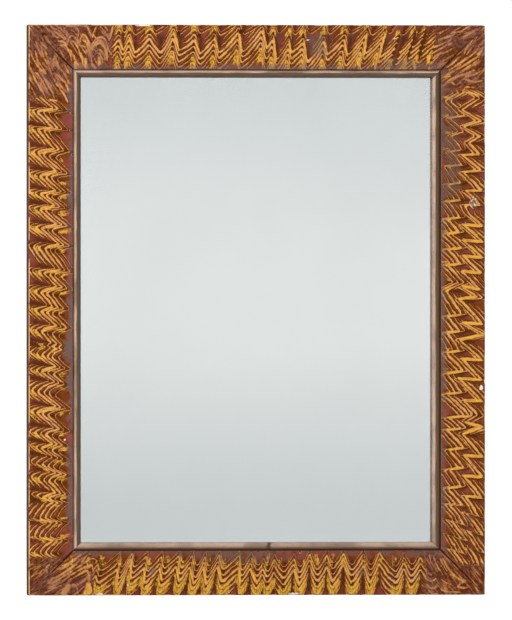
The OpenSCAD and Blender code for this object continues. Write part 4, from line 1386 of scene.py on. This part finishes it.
def bead_outline(settings):
    """A bead's section: its back, the glass side, the round and the quirk, as across and depth"""
    quirk_w = settings.quirk_width / MM
    radius = (BEAD_W - quirk_w) / 2
    middle = RAIL_W + quirk_w + radius
    inner = RAIL_W + BEAD_W
    sunk = settings.quirk_depth / MM
    points = [(RAIL_W, BEAD_D), (RAIL_W, (BEAD_D + sunk) / 2), (RAIL_W, sunk)]
    start = math.asin((radius - sunk) / radius)
    points.append((middle - radius * math.cos(start), sunk))
    turns = np.linspace(start, math.pi, ROUND_POINTS)[1:]
    points += [(middle - radius * math.cos(a), radius - radius * math.sin(a)) for a in turns]
    points += [(inner, depth) for depth in np.linspace(radius, BEAD_D, 5)[1:]]
    return points[::-1]


def soft_spots(spots, along):
    """Soft spots along a strip, each given by its middle, its spread and its strength"""
    total = np.zeros_like(along)
    for middle, spread, strength in spots:
        total += strength * np.exp(-((along - middle) / spread) ** 2)
    return total


def make_bead(side, node, settings, gilt):
    """One applied strip, with its round a little worn and nicked"""
    rng = np.random.default_rng(SEED * 3 + len(node) + ord(side[0]))
    length = side_length(side)
    gap = settings.gap / MM / 2 * math.sqrt(2)

    def shape(along, across, depth):
        # Only the round wears, and not the groove beside the board
        crown = np.clip(1 - depth / 3.0, 0, 1) * (across > RAIL_W + 1.0)
        wear = np.abs(slow_noise(along, np.zeros_like(across), *WORN_ROUND, rng))
        nick = soft_spots(BEAD_NICKS.get(side, []), along)
        return along, across, depth + crown * (wear + nick)

    mesh, along, across, depth = swept_mesh(
        "worn_" + node, side, bead_outline(settings),
        lambda a: a + gap, lambda a: length - a - gap, BEAD_STEP, shape)
    # The pale band on each round is partly rubbed gilt and partly a painted highlight
    place, spread, strength = RUBBED_AND_HIGHLIGHT_BANDS[side]
    # The groove, wall and glass-side values are painted shade, the groove's with some dirt
    add_values(
        mesh, along=along, across=across, depth=depth, scuff=soft_spots(BEAD_STAINS.get(side, []), along),
        gleam=place, spread=spread, gleam_strength=strength,
        wall_dirt=WALL_SHADE[side], groove_dirt=GROOVE_DIRT_AND_SHADE[side], glass_dirt=GLASS_SIDE_SHADE[side])
    hold(mesh, "worn_" + node, "frame", node, "worn_gilt", gilt)


def make_plate(settings):
    """The old plate: a faintly wavy sheet with ground edges, just clear of its silvering"""
    low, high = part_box("mirror_glass")
    ground = settings.ground_edge
    back = high.y - settings.film_gap
    points = []
    for inset, y in ((ground, low.y), (0.0, low.y + ground), (0.0, back), (ground, back)):
        for x, z in ((low.x + inset, low.z + inset), (high.x - inset, low.z + inset),
                     (high.x - inset, high.z - inset), (low.x + inset, high.z - inset)):
            points.append((x, y, z))
    faces = [(0, 1, 2, 3), (15, 14, 13, 12)]
    for ring in range(3):
        for corner in range(4):
            after = (corner + 1) % 4
            faces.append((ring * 4 + corner, ring * 4 + 4 + corner, ring * 4 + 4 + after, ring * 4 + after))
    mesh = bpy.data.meshes.new("old_plate")
    mesh.from_pydata(points, [], faces)
    mesh.validate()
    hold(mesh, "old_plate", "frame", "mirror_glass", "plate_glass", plate_glass(settings))


def finish_node(node, material):
    """Gives a piece of the construction its finish and leaves its shape alone"""
    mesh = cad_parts[node].data
    mesh.materials.clear()
    mesh.materials.append(material)


class LOOKINGGLASS_OT_boards(Operator):
    """Make the four painted boards"""
    bl_idname = "lookingglass.boards"
    bl_label = "Painted boards"

    def execute(self, context):
        settings = context.scene.painted_boards
        paint = grain_paint(settings)
        level = old_pine(context.scene.back_looks, "frame_pine_rail", 0)
        upright = old_pine(context.scene.back_looks, "frame_pine_stile", 2)
        for side, node in (("top", "top_rail"), ("bottom", "bottom_rail")):
            paint_board(side, node, settings, paint, level)
        for side, node in (("left", "left_stile"), ("right", "right_stile")):
            paint_board(side, node, settings, paint, upright)
        return {"FINISHED"}


class LOOKINGGLASS_OT_beads(Operator):
    """Make the four worn beads"""
    bl_idname = "lookingglass.beads"
    bl_label = "Worn beads"

    def execute(self, context):
        gilt = worn_gilt(context.scene.beads)
        for side in ("top", "bottom", "left", "right"):
            make_bead(side, side + "_bead", context.scene.beads, gilt)
        finish_node("bead_brads", nail_iron(context.scene.back_looks))
        return {"FINISHED"}


class LOOKINGGLASS_OT_plate(Operator):
    """Finish the glass and its silvering"""
    bl_idname = "lookingglass.plate"
    bl_label = "Glass and silvering"

    def execute(self, context):
        make_plate(context.scene.plate_looks)
        finish_node("silvering", silvering(context.scene.plate_looks))
        return {"FINISHED"}


class LOOKINGGLASS_OT_back(Operator):
    """Finish the backboards and the nails"""
    bl_idname = "lookingglass.back"
    bl_label = "Backboards and nails"

    def execute(self, context):
        iron = nail_iron(context.scene.back_looks)
        for node, shade in BACKBOARD_SHADES.items():
            finish_node(node, old_pine(context.scene.back_looks, node + "_pine", 0, shade, node))
        for node in ("corner_nails", "backboard_nails"):
            finish_node(node, iron)
        return {"FINISHED"}


class LOOKINGGLASS_OT_hangers(Operator):
    """Finish the straps, rings and screws"""
    bl_idname = "lookingglass.hangers"
    bl_label = "Brass hangers"

    def execute(self, context):
        sheet = old_brass(context.scene.back_looks, "hanger_brass", 0.0)
        rod = old_brass(context.scene.back_looks, "ring_brass", 0.08)
        screws = old_brass(context.scene.back_looks, "screw_brass", 0.04)
        for side in ("left", "right"):
            finish_node(side + "_strap", sheet)
            finish_node(side + "_ring", rod)
            finish_node(side + "_screws", screws)
        return {"FINISHED"}


class LOOKINGGLASS_OT_stage(Operator):
    """Lay the floor, hang the lights and set the camera"""
    bl_idname = "lookingglass.stage"
    bl_label = "Floor, lights and camera"

    def execute(self, context):
        stage = context.scene.stage_looks
        lay_floor(stage)
        light_room(context.scene, stage)
        set_camera(context.scene, stage)
        context.scene.view_settings.view_transform = "Standard"
        return {"FINISHED"}


def lay_floor(stage):
    """A plain square of floor under the frame"""
    half = stage.floor_size / 2
    mesh = bpy.data.meshes.new("floor")
    corners = [(-half, -half, 0), (half, -half, 0), (half, half, 0), (-half, half, 0)]
    mesh.from_pydata(corners, [], [(0, 1, 2, 3)])
    mesh.materials.append(pale_floor(stage))
    floor = bpy.data.objects.new("floor", mesh)
    bpy.context.scene.collection.objects.link(floor)


def add_lamp(name, place, aim, size, power):
    """A square area lamp that points from its place to its aim"""
    lamp = bpy.data.lights.new(name, "AREA")
    lamp.shape = "SQUARE"
    lamp.size = size
    lamp.energy = power
    holder = bpy.data.objects.new(name, lamp)
    holder.location = place
    holder.rotation_euler = (Vector(aim) - Vector(place)).to_track_quat("-Z", "Y").to_euler()
    bpy.context.scene.collection.objects.link(holder)


def light_room(scene, stage):
    """Even light all round, a large lamp at the upper left and one above the floor"""
    world = bpy.data.worlds.new("room")
    world.use_nodes = True
    sky = world.node_tree.nodes["Background"]
    sky.inputs["Color"].default_value = (1.0, 1.0, 1.0, 1.0)
    sky.inputs["Strength"].default_value = stage.room_light
    scene.world = world
    middle = (0, 0, FRAME_H / 2 * MM)
    add_lamp("window", WINDOW_PLACE, middle, WINDOW_SIZE, stage.window_light)
    add_lamp("floor_lamp", FLOOR_LAMP_PLACE, FLOOR_LAMP_AIM, FLOOR_LAMP_SIZE, stage.floor_light)


def set_camera(scene, stage):
    """Stands the camera to the left of the frame, far off, with a long lens"""
    data = bpy.data.cameras.new("camera")
    data.lens = data.sensor_width * stage.distance / stage.view_height
    data.clip_end = stage.floor_size * 2
    camera = bpy.data.objects.new("camera", data)
    away = Vector((
        -math.sin(stage.turn) * math.cos(stage.rise),
        -math.cos(stage.turn) * math.cos(stage.rise),
        math.sin(stage.rise)))
    middle = Vector((0, 0, FRAME_H / 2 * MM))
    camera.location = middle + away * stage.distance
    camera.rotation_euler = (-away).to_track_quat("-Z", "Y").to_euler()
    scene.collection.objects.link(camera)
    scene.camera = camera


class LOOKINGGLASS_PT_pieces(Panel):
    """Lists the pieces of the looking glass"""
    bl_idname = "LOOKINGGLASS_PT_pieces"
    bl_label = "Looking Glass"
    bl_space_type = "VIEW_3D"
    bl_region_type = "UI"
    bl_category = "Looking Glass"

    def draw(self, context):
        for operator in OPERATORS:
            self.layout.operator(operator.bl_idname)


SETTINGS = {
    "painted_boards": PaintedBoardSettings,
    "beads": BeadSettings,
    "plate_looks": GlassSettings,
    "back_looks": BackSettings,
    "stage_looks": StageSettings,
}
OPERATORS = (
    LOOKINGGLASS_OT_boards,
    LOOKINGGLASS_OT_beads,
    LOOKINGGLASS_OT_plate,
    LOOKINGGLASS_OT_back,
    LOOKINGGLASS_OT_hangers,
    LOOKINGGLASS_OT_stage,
)


def register():
    for name, group in SETTINGS.items():
        bpy.utils.register_class(group)
        setattr(bpy.types.Scene, name, PointerProperty(type=group))
    for operator in OPERATORS:
        bpy.utils.register_class(operator)
    bpy.utils.register_class(LOOKINGGLASS_PT_pieces)


def unregister():
    bpy.utils.unregister_class(LOOKINGGLASS_PT_pieces)
    for operator in reversed(OPERATORS):
        bpy.utils.unregister_class(operator)
    for name, group in SETTINGS.items():
        delattr(bpy.types.Scene, name)
        bpy.utils.unregister_class(group)


def write_sizes():
    """Brings the placements of the scene's objects up to date"""
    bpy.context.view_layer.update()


def main():
    register()
    bpy.ops.lookingglass.boards()
    bpy.ops.lookingglass.beads()
    bpy.ops.lookingglass.plate()
    bpy.ops.lookingglass.back()
    bpy.ops.lookingglass.hangers()
    bpy.ops.lookingglass.stage()
    write_sizes()


if __name__ == "__main__":
    main()
